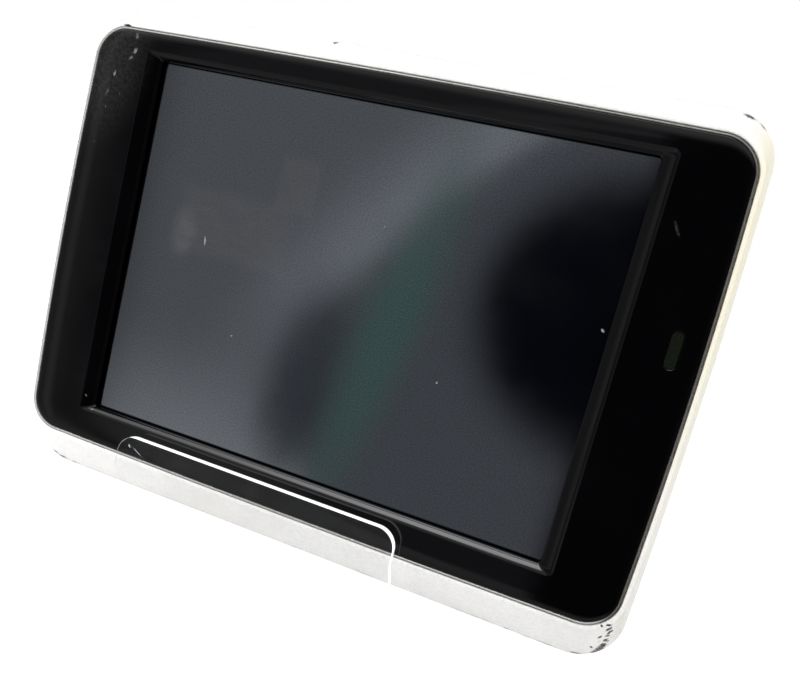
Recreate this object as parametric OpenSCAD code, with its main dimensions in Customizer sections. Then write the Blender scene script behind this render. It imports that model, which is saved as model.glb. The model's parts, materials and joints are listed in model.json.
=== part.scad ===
// Portable satellite navigator with a 3.5 inch resistive touch screen.
// X runs to the right across the screen, Y runs from the screen to the back, Z runs up.
// The origin is the middle of the case's footprint, on the surface that it stands on.
// The sizes go from the display outwards: display, window, face and case.

/* [Display] */
// Width of the lit area
active_w = 70.1; // [60:0.1:80]
// Height of the lit area
active_h = 52.6; // [47:0.1:62]
// Sideways place of the lit area's middle in the window
display_x = 0.2; // [0:0.1:0.6]
// Height of the lit area's middle above the window's middle
display_rise = 0.15; // [0:0.05:0.4]
// Display module's border beside the lit area
lcd_side = 3.4; // [3:0.1:4]
// Display module's border above the lit area
lcd_above = 4.1; // [3.5:0.1:4.6]
// Display module's border below the lit area
lcd_below = 7.2; // [6.5:0.1:7.9]
// Thickness of the display module
lcd_t = 3.2; // [2.8:0.1:3.6]
// Thickness of the touch panel
touch_t = 1.3; // [1:0.1:1.5]
// How far the touch panel reaches past the window
touch_lap = 1.8; // [1.5:0.1:2]
// Thickness of the foam gasket in front of the touch panel
gasket_t = 0.4; // [0.3:0.05:0.5]

/* [Window] */
// Window's margin beside the lit area
window_side = 2.25; // [2:0.05:2.6]
// Window's margin above and below the lit area
window_end = 0.8; // [0.6:0.05:1]
// Width of the window's sloping left and right sides
bevel_side = 1.9; // [1.6:0.1:2.1]
// Width of the window's sloping top and bottom
bevel_end = 0.7; // [0.5:0.05:0.8]
// Square land at the foot of the window's slopes
window_land = 0.4; // [0.3:0.1:0.6]

/* [Face] */
// Black border beside the window
face_side = 8.85; // [7.8:0.05:12]
// Black border above the window
face_above = 2.5; // [2.2:0.1:4]
// Black border below the window
face_below = 4.4; // [3.8:0.1:7]
// Corner radius of the face
face_r = 4; // [3:0.1:6]
// How far the left and right sides of case and face bulge out
side_crown = 0.7; // [0.2:0.1:1]
// How far the top and bottom of the face bulge out
end_crown = 0.3; // [0:0.05:0.5]
// Thickness of the black face bezel
bezel_t = 1.4; // [1.2:0.1:1.6]
// How far the bezel's edges roll back
bezel_roll = 0.4; // [0.2:0.05:0.5]
// Width of the bright trim ring around the face
ring_w = 0.5; // [0.4:0.05:0.8]
// How far the trim ring stands back from the face
ring_drop = 0.25; // [0.1:0.05:0.4]

/* [Case] */
// Case border beside the face
side_border = 2.4; // [2.1:0.05:4]
// Case border below the face
chin_h = 6.7; // [6:0.1:7.5]
// Case border above the face
brow_h = 4.6; // [4:0.1:6]
// Depth from the face to the back
body_d = 18; // [16.2:0.1:24]
// Corner radius of the widest edge, seen from the front
body_r = 6.3; // [5.5:0.1:8]
// Wall thickness of the two case halves
wall = 1.8; // [1.5:0.1:2]
// How far the front rim stands back from the face
rim_drop = 0.35; // [0.2:0.05:0.6]
// Depth of the widest edge behind the face
edge_depth = 4.7; // [4.2:0.1:5.4]
// Depth of the joint between front frame and rear cover
parting_depth = 8.2; // [7.4:0.1:9]
// How far the back is drawn in all round by its rounding
back_inset = 4.2; // [3:0.1:5]
// How far the side and top walls lean in towards the back
side_draft = 0.5; // [0:0.1:0.8]

/* [Badge tab] */
// Width of the clear tab
tab_w = 44.6; // [36:0.2:60]
// Sideways place of the tab's middle
tab_x = -5.3; // [-12:0.1:12]
// How far the tab reaches up over the face
tab_lap = 4.1; // [3:0.1:6]
// Thickness of the tab
tab_t = 2; // [1.5:0.1:2.5]
// Corner radius of the tab
tab_r = 2.8; // [1:0.1:3.6]

/* [Electronics] */
// Thickness of the main board
board_t = 1.2; // [1:0.1:1.4]
// Thickness of the chassis plate
chassis_t = 1; // [0.8:0.1:1.2]
// Room between chassis plate and main board
board_gap = 1.2; // [1.05:0.05:1.4]
// Length of the loudspeaker
speaker_w = 24; // [20:0.5:27]
// Height of the loudspeaker
speaker_h = 15; // [13:0.5:17]
// Side of the square patch antenna
patch_w = 15; // [12:0.5:17]

/* [Controls] */
// Length of the power key
key_w = 11; // [8:0.5:12]
// Width of the power key
key_t = 3.2; // [2.6:0.1:3.6]
// How far the power key stands out of the case
key_proud = 0.7; // [0.5:0.1:0.9]
// Travel of the power key
key_travel = 0.4; // [0.3:0.05:0.5]
// Radius of the reset pinhole
pinhole_r = 0.7; // [0.5:0.1:0.9]

/* [Hidden] */
$fn = 48;

// Clearances: faces that rest on each other, close fits, sliding pieces, and overshoot of cuts
seat = 0.05;
fit = 0.15;
slip = 0.3;
cut = 1;
skin = 0.02;

// Steps along a corner's quarter circle and along a crowned side
arc_steps = 6;
flank_steps = 9;

// Window, face and case around the display
window_w = active_w + 2 * window_side;
window_h = active_h + 2 * window_end;
face_w = window_w + 2 * face_side;
face_h = face_below + window_h + face_above;
body_w = face_w + 2 * side_border;
body_h = chin_h + face_h + brow_h;
face_z = chin_h + face_h / 2;
window_z = chin_h + face_below + window_h / 2;
window_r = 0.8;
window_foot_r = 0.4;
bevel_depth = bezel_t - window_land;
roll_width = 3.2;

// The seam round the trim ring, and the lip that joins the case halves
seam_gap = 0.3;
rim_land = 0.3;
pocket_grow = seat + ring_w + seam_gap;
rim_grow = pocket_grow + rim_land;
lip_h = 1;
lip_t = 0.8;

// The stack behind the window, as depths from the face
tape_t = 0.3;
touch_front = bezel_t + gasket_t;
touch_back = touch_front + touch_t;
lcd_front = touch_back + tape_t;
lcd_back = lcd_front + lcd_t;
chassis_front = lcd_back + seat;
chassis_back = chassis_front + chassis_t;
board_front = chassis_back + board_gap;
board_back = board_front + board_t;
on_board = board_back + seat;
inner_back = body_d - wall;
ledge_back = lcd_front - seat;

// The display and its touch panel
touch_w = window_w + 2 * touch_lap;
touch_h = window_h + 2 * touch_lap;
touch_r = 1;
tape_margin = 1;
active_z = window_z + display_rise;
lcd_w = active_w + 2 * lcd_side;
lcd_h = active_h + lcd_above + lcd_below;
lcd_z = active_z + (lcd_above - lcd_below) / 2;
lcd_low = lcd_z - lcd_h / 2;
lcd_sheet = 0.3;
lcd_opening = 0.4;
lcd_glass_t = 1.1;
lcd_border = 1.1;

// The main board fills the case, a little clear of its walls and below the power key
board_side_gap = 1.3;
board_low_gap = 1;
board_corner_gap = 2.5;
key_room = 6.4;
board_w = body_w - 2 * (side_crown + side_draft + wall + board_side_gap);
board_low = wall + board_low_gap;
board_top = body_h - key_room;
board_left = -board_w / 2;
board_right = board_w / 2;
board_r = body_r - board_corner_gap;

// The chassis stays clear of the lip and of the flat cables below the display
chassis_gap = 1.8;
chassis_lift = 0.6;
chassis_low = lcd_low + chassis_lift;
chassis_top = body_h - wall - chassis_gap;
chassis_w = board_w - 2 * lip_t;
lightening_margin = 4;
lightening_r = 3;

// Screws that join the two case halves, in bosses beside the display
boss_r = 1.9;
boss_gap = 0.7;
boss_inset = 8.6;
tube_r = 2.9;
boss_x = lcd_w / 2 + display_x + boss_gap + boss_r;
screw_r = 1;
screw_head_r = 1.8;
screw_head_t = 1.2;
screw_recess = 4.4;
screw_bite = 0.6;
screw_seat = body_d - screw_recess;
screw_tip = ledge_back + screw_bite;
case_screw_places = [for (x = [-boss_x, boss_x], z = [boss_inset, body_h - boss_inset]) [x, z]];

// Screws that hold the main board to pillars on the chassis
pillar_r = 1.6;
pillar_low = 14.5;
pillar_mid = 25.8;
pillar_drop = 10.4;
board_screw_r = 0.8;
board_screw_head_r = 1.5;
board_screw_head_t = 0.8;
board_screw_places = [
    [-boss_x, board_low + pillar_low], [boss_x, board_low + pillar_mid],
    [boss_x, body_h - boss_inset - pillar_drop]];

// Shield can of the processor at the bottom left of the board
can_sheet = 0.25;
can_t = 1.9;
can_r = 0.8;
part_gap = 2;
processor_w = 19;
processor_h = 13;
processor_inset = 9;
processor_x = board_left + processor_inset + processor_w / 2;
processor_z = board_low + part_gap + processor_h / 2;

// Memory card in its socket at the left edge of the board, above the processor
card_l = 32;
card_w = 24;
card_t = 2.1;
card_corner = 4;
card_recess = 0.5;
card_stop = 0.6;
socket_floor = 0.4;
socket_roof = 0.3;
socket_cheek = 1.2;
socket_low = processor_z + processor_h / 2 + part_gap;
card_z = socket_low + socket_cheek + fit + card_w / 2;
socket_top = card_z + card_w / 2 + fit + socket_cheek;
card_front = on_board + socket_floor + fit;
card_back = card_front + card_t;
socket_back = card_back + fit + socket_roof;
socket_left = board_left;
card_left = -body_w / 2 + card_recess;
socket_right = card_left + card_l + fit + card_stop;

// Charging socket on the bottom edge of the board
usb_from_right = 33;
usb_x = board_right - usb_from_right;
usb_w = 7.7;
usb_t = 4;
usb_l = 9;
usb_sheet = 0.4;
usb_chamfer = 1;
usb_low = 0.5;
usb_top = usb_low + usb_l;
usb_depth = on_board + usb_t / 2;
tongue_t = 1.4;
tongue_l = 6;

// Power key over its switch on the top edge of the board
key_from_left = 13.5;
key_x = board_left + key_from_left;
switch_axis = 2;
key_depth = board_back + switch_axis;
key_flange = 0.9;
key_flange_t = 0.8;
key_flange_top = body_h - side_draft - wall - slip;
stem_r = 1.1;
switch_w = 6;
switch_h = 3.4;
switch_lift = 0.4;
switch_wall = 1.5;
plunger_r = 0.9;
plunger_gap = 0.08;
plunger_proud = 0.8;
plunger_seat = 1.2;
switch_top = board_top + switch_lift;

// Receiver's shield can between card socket and power switch
receiver_w = 11;
receiver_h = 8;
receiver_x = key_x;
receiver_z = socket_top + part_gap / 2 + receiver_h / 2;

// Reset switch over its pinhole in the underside
reset_gap = 5;
reset_w = 4.6;
reset_h = 3;
reset_travel = 0.25;
reset_proud = 0.7;
reset_seat = 1;
reset_x = processor_x + processor_w / 2 + reset_gap;
reset_low = board_low + switch_lift;

// Loudspeaker behind slots in the back, beside the right-hand screw
speaker_from_right = 8.5;
speaker_margin = 1.2;
speaker_gasket_t = 0.6;
speaker_rim = 1.4;
speaker_t = 1.6;
speaker_x = board_right - speaker_from_right - speaker_w / 2;
speaker_z = board_top - speaker_margin - speaker_h / 2;
speaker_back = inner_back - speaker_gasket_t - 2 * seat;
speaker_front = speaker_back - speaker_t;
cone_t = 0.4;
magnet_r = 4.6;
magnet_gap = 0.4;
slot_count = 5;
slot_w = 1.2;
slot_pitch = 2.3;
slot_inset = 4.5;
slot_taper = 2.2;

// Lead wires, and the plugs on the board that they end in
wire_r = 0.45;
wire_pitch = 1.3;
wire_sides = 8;
wire_steps = 6;
wire_stub = 0.5;
wire_bow = 0.8;
plug_l = 5;
plug_w = 2.8;
plug_t = 2.4;
plug_reach = 3.2;
plug_mid = on_board + plug_t / 2;
speaker_plug_x = speaker_x - speaker_w / 2 - plug_reach - plug_w / 2;
speaker_plug_z = speaker_z;

// Patch antenna on its ground plate, left of the loudspeaker's plug
patch_t = 2;
patch_r = 0.5;
patch_metal = 1.6;
patch_foil = 0.1;
patch_pin_r = 0.6;
patch_pin_t = 0.4;
ground_t = 0.4;
ground_edge = 0.5;
patch_margin = 0.8;
patch_x = speaker_plug_x - plug_w / 2 - part_gap - patch_w / 2;
patch_z = board_top - patch_margin - patch_w / 2;
patch_front = on_board + ground_t + seat;

// Battery on a pad, between card socket, charging socket, loudspeaker and right-hand screws
pad_t = 0.5;
pad_margin = 2;
battery_r = 2.4;
battery_gap = 2.5;
battery_slack = 0.8;
battery_left = socket_right + battery_gap;
battery_right = board_right - plug_reach - plug_w - part_gap / 2;
battery_low = usb_top + battery_gap;
battery_top = board_top - max(speaker_margin + speaker_h, patch_margin + patch_w) - battery_gap;
battery_front = on_board + pad_t + seat;
battery_back = inner_back - battery_slack;
battery_x = (battery_left + battery_right) / 2;
battery_z = (battery_low + battery_top) / 2;
battery_w = battery_right - battery_left;
battery_h = battery_top - battery_low;
battery_plug_x = battery_right + plug_reach + plug_w / 2;
battery_plug_z = battery_top - plug_l;

// Memory chips between charging socket and right-hand screw
chip_w = 7.5;
chip_h = 6;
chip_t = 1;
chip_pitch = 9;
chip_x = usb_x + usb_w / 2 + part_gap + chip_w;
chip_z = board_low + part_gap + chip_h / 2;

// Openings where a car cradle takes hold: two slots below, one notch on top
cradle_from_side = 21.5;
cradle_x = body_w / 2 - cradle_from_side;
cradle_slot_w = 8;
cradle_slot_t = 2.4;
cradle_depth = usb_depth;
cradle_notch_w = 16;
cradle_notch_t = 2.6;
cradle_notch_deep = 0.8;

// Indicator lens in the face, with its light on the board
lens_w = 1.4;
lens_h = 4.6;
lens_from_side = 3.1;
lens_rise = 5.4;
lens_x = face_w / 2 - lens_from_side;
lens_z = face_z + lens_rise;
led_w = 1.6;
led_h = 0.8;
led_t = 0.7;

// Flat cables of display and touch panel, which meet the board below the chassis
flex_t = 0.2;
flex_drop = 1.2;
flex_climb = 9;
flex_gap = 0.4;
flex_socket_h = 4;
flex_socket_t = 0.9;
flex_socket_side = 1.5;
lcd_flex_w = 22;
lcd_flex_x = -8;
lcd_flex_inset = 1;
tail_w = 8;
tail_from_right = 13;
tail_x = active_w / 2 - tail_from_right;
tail_lap = 2.5;
flex_low = lcd_low - flex_drop;
flex_back = board_front - flex_gap;
flex_end = board_low + flex_climb;

// Depths are measured from the face towards the back; at() turns one into Y.
function at(depth) = depth - (body_d - tab_t) / 2;

// Points along a corner's quarter circle, and between the two ends of a side that bulges
function corner(x, z, r, start) = [for (i = [0 : arc_steps])
    let (a = start + 90 * i / arc_steps) [x + r * cos(a), z + r * sin(a)]];
function flank(from, to, bulge) =
    [for (i = [1 : bulge > 0 ? flank_steps : 0]) from + (to - from) * i / (flank_steps + 1)];

// Points of a rounded rectangle whose sides bulge by the crown, and its top and bottom by the rise
function outline(half_w, low, high, r, rise) =
    let (half_h = (high - low) / 2, run_x = half_w - r, run_z = half_h - r)
    [for (p = concat(
            corner(run_x, run_z, r, 0), flank([run_x, half_h], [-run_x, half_h], rise),
            corner(-run_x, run_z, r, 90), flank([-half_w, run_z], [-half_w, -run_z], side_crown),
            corner(-run_x, -run_z, r, 180), flank([-run_x, -half_h], [run_x, -half_h], rise),
            corner(run_x, -run_z, r, 270), flank([half_w, -run_z], [half_w, run_z], side_crown)))
        [p[0] * (1 + side_crown / half_w * (1 - pow(p[1] / half_h, 2))),
            low + half_h + p[1] * (1 + rise / half_h * (1 - pow(p[0] / half_w, 2)))]];

// A section holds its depth, its half width, low and high without the bulges, corner radius and rise
function face_section(depth, grow) = [
    depth, face_w / 2 - side_crown + grow, chin_h + end_crown - grow, body_h - brow_h - end_crown + grow,
    face_r + grow, end_crown];
rim_section = face_section(rim_drop, rim_grow);
rim_low = chin_h - rim_grow;
function drafted(depth, lean) =
    [depth, body_w / 2 - side_crown - lean, 0, body_h - lean, body_r, 0];
edge_section = drafted(edge_depth, 0);
back_round = 4.4;
parting = drafted(parting_depth, side_draft / 3);
shoulder = drafted(body_d - back_round, side_draft);

// Blends two sections: share 0 gives the first one, share 1 the second
function blend(a, b, share) = [for (i = [0 : len(a) - 1]) a[i] + (b[i] - a[i]) * share];

// Draws a section in by an amount all round, and puts it at another depth
least_r = 0.8;
function inset(s, amount, depth) =
    [depth, s[1] - amount, s[2] + amount, s[3] - amount, max(s[4] - amount, least_r), s[5]];

// Chin, brow and sides slope from rim to edge, and the edge itself is rounded off
edge_round = 0.9;
slope_end = 1 - 1.6 * edge_round / (edge_depth - rim_drop);
front_sections = [
    rim_section,
    blend(rim_section, edge_section, slope_end),
    inset(edge_section, 0.35 * edge_round, edge_depth - 0.4 * edge_round),
    inset(edge_section, 0, edge_depth + 0.4 * edge_round),
    inset(parting, 0, parting_depth - seat)];

// The back's rounding is an elliptical quarter
back_steps = 5;
function back_section(a) =
    inset(shoulder, back_inset * (1 - cos(a)), body_d - back_round * (1 - sin(a)));
back_sections = concat([parting], [for (i = [0 : back_steps]) back_section(90 * i / back_steps)]);

// How deep the chin's slope lies at a height
chin_slope = rim_low / (edge_depth - rim_drop);
function chin_depth(z) = rim_drop + (rim_low - z) / chin_slope;

// Extrudes an outline drawn in X and Z from one depth to another
module slab(front, back) {
    translate([0, at(back), 0]) rotate([90, 0, 0]) linear_extrude(back - front) children();
}

// Extrudes a profile drawn in Y and Z along X
module bar(x, w) {
    translate([x - w / 2, 0, 0]) rotate([90, 0, 90]) linear_extrude(w) children();
}

// A box, given by its middle in X and Z, its width and height and its two depths
module block(x, z, w, h, front, back) {
    translate([x - w / 2, at(front), z - h / 2]) cube([w, back - front, h]);
}

// A round pin along Y, and one along Z
module pin(place, r, front, back) {
    translate([place[0], at(back), place[1]]) rotate([90, 0, 0]) cylinder(r = r, h = back - front);
}
module post(x, depth, r, low, high) {
    translate([x, at(depth), low]) cylinder(r = r, h = high - low);
}

// A rectangle with round corners, given by its middle; a stadium has half-round ends
module rounded(x, z, w, h, r) {
    translate([x, z]) {
        square([w - 2 * r, h], center = true);
        square([w, h - 2 * r], center = true);
        for (i = [-1, 1], k = [-1, 1]) translate([i * (w / 2 - r), k * (h / 2 - r)]) circle(r);
    }
}
module stadium(x, z, w, h) {
    rounded(x, z, w, h, min(w, h) / 2 - skin);
}

// The outline of a section, and that of the face, grown outwards by an amount
module section_outline(s) {
    polygon(outline(s[1], s[2], s[3], s[4], s[5]));
}
module face_outline(grow) {
    section_outline(face_section(0, grow));
}

// The window's outline at the face, drawn in by a share of its slopes
module window_outline(share, r) {
    rounded(0, window_z, window_w - 2 * share * bevel_side, window_h - 2 * share * bevel_end, r);
}

// A closed body through a list of sections, each a thin slice on the side of the body's middle
module loft(sections, middle) {
    hull() for (s = sections)
        slab(s[0] - (s[0] > middle ? skin : 0), s[0] + (s[0] > middle ? 0 : skin))
            section_outline(s);
}

// The case's inner outline at the joint, drawn in by an amount
module lip(amount) {
    section_outline(inset(parting, wall + amount, parting_depth));
}

// A tube along points of X, Y and Z, its ends square to its first and last stretch
module wire(points) {
    count = len(points);
    rings = [for (i = [0 : count - 1])
        let (v = points[min(i + 1, count - 1)] - points[max(i - 1, 0)],
             side = cross(v, [0, 0, 1]) / norm(cross(v, [0, 0, 1])),
             up = cross(side, v) / norm(v))
        for (k = [0 : wire_sides - 1])
            let (a = 360 * k / wire_sides) points[i] + wire_r * (cos(a) * side + sin(a) * up)];
    wall_faces = [for (i = [0 : count - 2], k = [0 : wire_sides - 1])
        let (a = i * wire_sides + k, b = i * wire_sides + (k + 1) % wire_sides)
        each [[a, b, a + wire_sides], [b, b + wire_sides, a + wire_sides]]];
    end = (count - 1) * wire_sides;
    first_face = [for (k = [wire_sides - 1 : -1 : 0]) k];
    last_face = [for (k = [0 : wire_sides - 1]) end + k];
    polyhedron(rings, concat([first_face, last_face], wall_faces));
}

// Two wires side by side, from one X and depth to another, bowed towards the back between them
module lead(x_from, x_to, from, to, z) {
    run = x_to - x_from;
    stub = wire_stub * sign(run);
    inner = [for (s = [0 : wire_steps]) let (t = s / wire_steps)
        [x_from + stub + (run - 2 * stub) * t,
            at(from + (to - from) * (1 - cos(180 * t)) / 2 + wire_bow * pow(sin(180 * t), 2))]];
    path = concat([[x_from, at(from)]], inner, [[x_to, at(to)]]);
    for (i = [-1, 1]) wire([for (p = path) [p[0], p[1], z + i * wire_pitch / 2]]);
}

module front_frame() {
    ledge_section = blend(rim_section, edge_section, (ledge_back - rim_drop) / (edge_depth - rim_drop));
    color("whitesmoke") difference() {
        union() {
            difference() {
                loft(front_sections, body_d);
                loft([
                    inset(ledge_section, wall, ledge_back), inset(edge_section, wall, edge_depth),
                    inset(parting, wall, parting_depth + cut)], body_d);
            }
            for (p = case_screw_places) pin(p, boss_r, ledge_back - cut, chassis_front - seat);
        }
        slab(-cut, bezel_t) face_outline(pocket_grow);
        slab(0, ledge_back + cut) rounded(0, window_z, touch_w + 2 * slip, touch_h + 2 * slip, touch_r);
        slab(0, ledge_back + cut) stadium(lens_x, lens_z, lens_w + 2 * fit, lens_h + 2 * fit);
        for (p = case_screw_places) pin(p, screw_r + seat, screw_tip - seat, body_d);
        block(tail_x, flex_low - slip + touch_h / 2, tail_w + 2 * slip, touch_h,
            touch_back - seat, lcd_front);
    }
}

module rear_cover() {
    floor_section = back_section(asin(1 - wall / back_round));
    color("whitesmoke") difference() {
        union() {
            difference() {
                loft(back_sections, parting_depth);
                loft(concat(
                    [inset(parting, wall, parting_depth - cut)],
                    [for (s = back_sections) if (s[0] < inner_back) inset(s, wall, s[0])],
                    [inset(floor_section, wall, inner_back)]), parting_depth);
            }
            for (p = case_screw_places) pin(p, tube_r, on_board, inner_back + cut / 2);
            slab(parting_depth - lip_h, parting_depth + lip_h) difference() {
                lip(fit);
                lip(fit + lip_t);
            }
            slab(parting_depth + skin, parting_depth + lip_h) difference() {
                lip(-wall / 2);
                lip(fit + lip_t);
            }
        }
        for (p = case_screw_places) {
            pin(p, screw_r + fit, 0, body_d);
            pin(p, screw_head_r + fit, screw_seat, body_d + cut);
        }
        for (i = [0 : slot_count - 1]) {
            row = i - (slot_count - 1) / 2;
            slab(inner_back - cut, body_d + cut)
                stadium(speaker_x, speaker_z + row * slot_pitch,
                    speaker_w - 2 * slot_inset - abs(row) * slot_taper, slot_w);
        }
        block(-body_w / 2, card_z, 4 * wall, card_w + 2 * slip, card_front - slip, card_back + slip);
        block(usb_x, 0, usb_w + 2 * slip, 2 * board_low, on_board - slip, on_board + usb_t + slip);
        post(reset_x, key_depth, pinhole_r, -cut, board_low);
        for (x = [-cradle_x, cradle_x])
            block(x, 0, cradle_slot_w, 2 * board_low, cradle_depth - cradle_slot_t / 2,
                cradle_depth + cradle_slot_t / 2);
        block(0, body_h, cradle_notch_w, 2 * (cradle_notch_deep + side_draft),
            cradle_depth - cradle_notch_t / 2, cradle_depth + cradle_notch_t / 2);
        translate([key_x, at(key_depth), body_h - 2 * wall])
            linear_extrude(4 * wall) stadium(0, 0, key_w + 2 * slip, key_t + 2 * slip);
    }
}

module face_bezel() {
    color([0.03, 0.03, 0.035]) difference() {
        hull() {
            slab(0, skin) face_outline(-roll_width);
            slab(0.15 * bezel_roll, bezel_roll) face_outline(-0.5 * roll_width);
            slab(0.5 * bezel_roll, bezel_roll) face_outline(-0.22 * roll_width);
            slab(bezel_roll, bezel_t) face_outline(0);
        }
        hull() {
            slab(-skin, 0) window_outline(0, window_r);
            slab(bevel_depth - skin, bevel_depth) window_outline(1, window_foot_r);
        }
        slab(0, bezel_t + cut) window_outline(1, window_foot_r);
        slab(-cut, bezel_t + cut) stadium(lens_x, lens_z, lens_w + fit, lens_h + fit);
    }
}

module trim_ring() {
    color("silver") slab(ring_drop, bezel_t - seat) difference() {
        face_outline(seat + ring_w);
        face_outline(seat);
    }
}

module badge_tab() {
    top = chin_h + tab_lap;
    low = edge_round;
    front_bend = rim_low + rim_drop * chin_slope;
    back_bend = rim_low + (rim_drop - fit + seat) * chin_slope;
    color([0.85, 0.9, 0.92, 0.5]) intersection() {
        bar(tab_x, tab_w) polygon([
            [at(-tab_t), top], [at(-tab_t), front_bend], [at(chin_depth(low) - tab_t), low],
            [at(chin_depth(low) - fit), low], [at(-seat), back_bend], [at(-seat), top]]);
        slab(-tab_t - cut, edge_depth + cut) rounded(tab_x, (top - tab_r) / 2, tab_w, top + tab_r, tab_r);
    }
}

module status_lens() {
    color([0.2, 0.25, 0.2]) slab(bezel_roll / 4, ledge_back) stadium(lens_x, lens_z, lens_w, lens_h);
}

module window_gasket() {
    color([0.08, 0.08, 0.08]) slab(bezel_t, touch_front) difference() {
        rounded(0, window_z, touch_w, touch_h, touch_r);
        window_outline(0.5, touch_r);
    }
}

module touch_panel() {
    color([0.3, 0.33, 0.37]) slab(touch_front, touch_back) rounded(0, window_z, touch_w, touch_h, touch_r);
}

// The profile of a flat cable: down from a start, back below the display, up to its socket
module flex_profile(front, top) {
    polygon([
        [at(front), top], [at(front), flex_low], [at(flex_back), flex_low], [at(flex_back), flex_end],
        [at(flex_back - flex_t), flex_end], [at(flex_back - flex_t), flex_low + flex_t],
        [at(front + flex_t), flex_low + flex_t], [at(front + flex_t), top]]);
}

module touch_tail() {
    color("orange") bar(tail_x, tail_w) flex_profile(touch_back + seat, window_z - touch_h / 2 + tail_lap);
}

module panel_tape() {
    color([0.1, 0.1, 0.1]) slab(touch_back, lcd_front) difference() {
        rounded(0, window_z, touch_w - 2 * fit, touch_h - 2 * fit, touch_r);
        rounded(display_x, active_z, active_w + 2 * tape_margin, active_h + 2 * tape_margin, touch_r);
        translate([tail_x, window_z - touch_h / 2])
            square([tail_w + 2 * slip, 2 * (tail_lap + slip)], center = true);
    }
}

module lcd_glass() {
    front = lcd_front + lcd_sheet;
    color([0.25, 0.28, 0.33])
        block(display_x, active_z, active_w + 2 * lcd_border, active_h + 2 * lcd_border,
            front, front + lcd_glass_t);
}

module lcd_metal_frame() {
    color("silver") difference() {
        block(display_x, lcd_z, lcd_w, lcd_h, lcd_front, lcd_back - lcd_sheet);
        block(display_x, lcd_z, lcd_w - 2 * lcd_sheet, lcd_h - 2 * lcd_sheet,
            lcd_front + lcd_sheet, lcd_back);
        block(display_x, active_z, active_w + 2 * lcd_opening, active_h + 2 * lcd_opening,
            lcd_front - cut, lcd_back);
    }
}

module backlight_tray() {
    glass_w = active_w + 2 * (lcd_border + fit);
    glass_h = active_h + 2 * (lcd_border + fit);
    front = lcd_front + lcd_sheet + seat;
    color("white") difference() {
        block(display_x, lcd_z, lcd_w - 2 * (lcd_sheet + seat), lcd_h - 2 * (lcd_sheet + seat),
            front, lcd_back);
        block(display_x, active_z, glass_w, glass_h, lcd_front, front + lcd_glass_t);
    }
}

module lcd_flex() {
    color("orange") bar(lcd_flex_x, lcd_flex_w) flex_profile(lcd_back - lcd_flex_inset, lcd_low - seat);
}

module chassis() {
    mid = (chassis_low + chassis_top) / 2;
    h = chassis_top - chassis_low;
    color("lightgray") difference() {
        union() {
            slab(chassis_front, chassis_back) rounded(0, mid, chassis_w, h, board_r);
            for (p = board_screw_places) pin(p, pillar_r, chassis_front, board_front - seat);
        }
        for (p = case_screw_places) pin(p, screw_r + fit, 0, body_d);
        for (p = board_screw_places) pin(p, board_screw_r + seat, 0, body_d);
        block(lens_x + lens_w, lens_z, 4 * lens_w, lens_h, chassis_front - cut, chassis_back + cut);
        for (i = [-1, 1])
            slab(0, board_front)
                rounded(i * active_w / 4, mid, active_w / 2 - 2 * lightening_margin, h / 2, lightening_r);
    }
}

module main_board() {
    color("darkgreen") difference() {
        slab(board_front, board_back)
            rounded(0, (board_low + board_top) / 2, board_w, board_top - board_low, board_r);
        for (p = case_screw_places) pin(p, screw_r + fit, 0, body_d);
        for (p = board_screw_places) pin(p, board_screw_r + fit, 0, body_d);
    }
}

module flex_sockets() {
    color("ivory") for (s = [[lcd_flex_x, lcd_flex_w], [tail_x, tail_w]])
        block(s[0], flex_end + seat + flex_socket_h / 2, s[1] + 2 * flex_socket_side, flex_socket_h,
            board_front - flex_socket_t, board_front);
}

module status_led() {
    color("lightyellow") block(lens_x, lens_z, led_w, led_h, board_front - led_t, board_front);
}

module shield_can(x, z, w, h) {
    difference() {
        slab(board_back, board_back + can_t) rounded(x, z, w, h, can_r);
        slab(board_back - cut, board_back + can_t - can_sheet)
            rounded(x, z, w - 2 * can_sheet, h - 2 * can_sheet, can_r - can_sheet);
    }
}

module processor_shield() {
    color("silver") shield_can(processor_x, processor_z, processor_w, processor_h);
}

module receiver_shield() {
    color("silver") shield_can(receiver_x, receiver_z, receiver_w, receiver_h);
}

module flash_chips() {
    color([0.12, 0.12, 0.13]) for (i = [0, 1])
        block(chip_x + i * chip_pitch, chip_z, chip_w, chip_h, board_back, board_back + chip_t);
}

module patch_antenna() {
    back = patch_front + patch_t;
    metal = patch_w - 2 * patch_metal;
    color("tan") union() {
        slab(patch_front, back) rounded(patch_x, patch_z, patch_w, patch_w, patch_r);
        slab(back - skin, back + patch_foil) rounded(patch_x, patch_z, metal, metal, patch_r);
        pin([patch_x + metal / 8, patch_z], patch_pin_r, back, back + patch_pin_t);
    }
}

module antenna_ground() {
    w = patch_w + 2 * ground_edge;
    color("goldenrod") slab(on_board, on_board + ground_t) rounded(patch_x, patch_z, w, w, patch_r);
}

module card_socket() {
    w = socket_right - socket_left;
    x = (socket_left + socket_right) / 2;
    color("silver") difference() {
        block(x, card_z, w, socket_top - socket_low, on_board, socket_back);
        block(x - card_stop, card_z, w, card_w + 2 * fit, card_front - fit, card_back + fit);
        slab(card_back, body_d) rounded(x + w / 6, card_z, w / 3, card_w / 2, can_r);
    }
}

module memory_card() {
    low = card_z - card_w / 2;
    high = card_z + card_w / 2;
    right = card_left + card_l;
    color([0.13, 0.14, 0.2]) slab(card_front, card_back) polygon([
        [card_left, low], [right, low], [right, high - card_corner], [right - card_corner, high],
        [card_left, high]]);
}

module usb_profile(shrink) {
    half = usb_w / 2 - shrink;
    front = on_board + shrink;
    back = on_board + usb_t - shrink;
    polygon([
        [usb_x - half, at(front)], [usb_x + half, at(front)], [usb_x + half, at(back - usb_chamfer)],
        [usb_x + half - usb_chamfer, at(back)], [usb_x - half + usb_chamfer, at(back)],
        [usb_x - half, at(back - usb_chamfer)]]);
}

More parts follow.
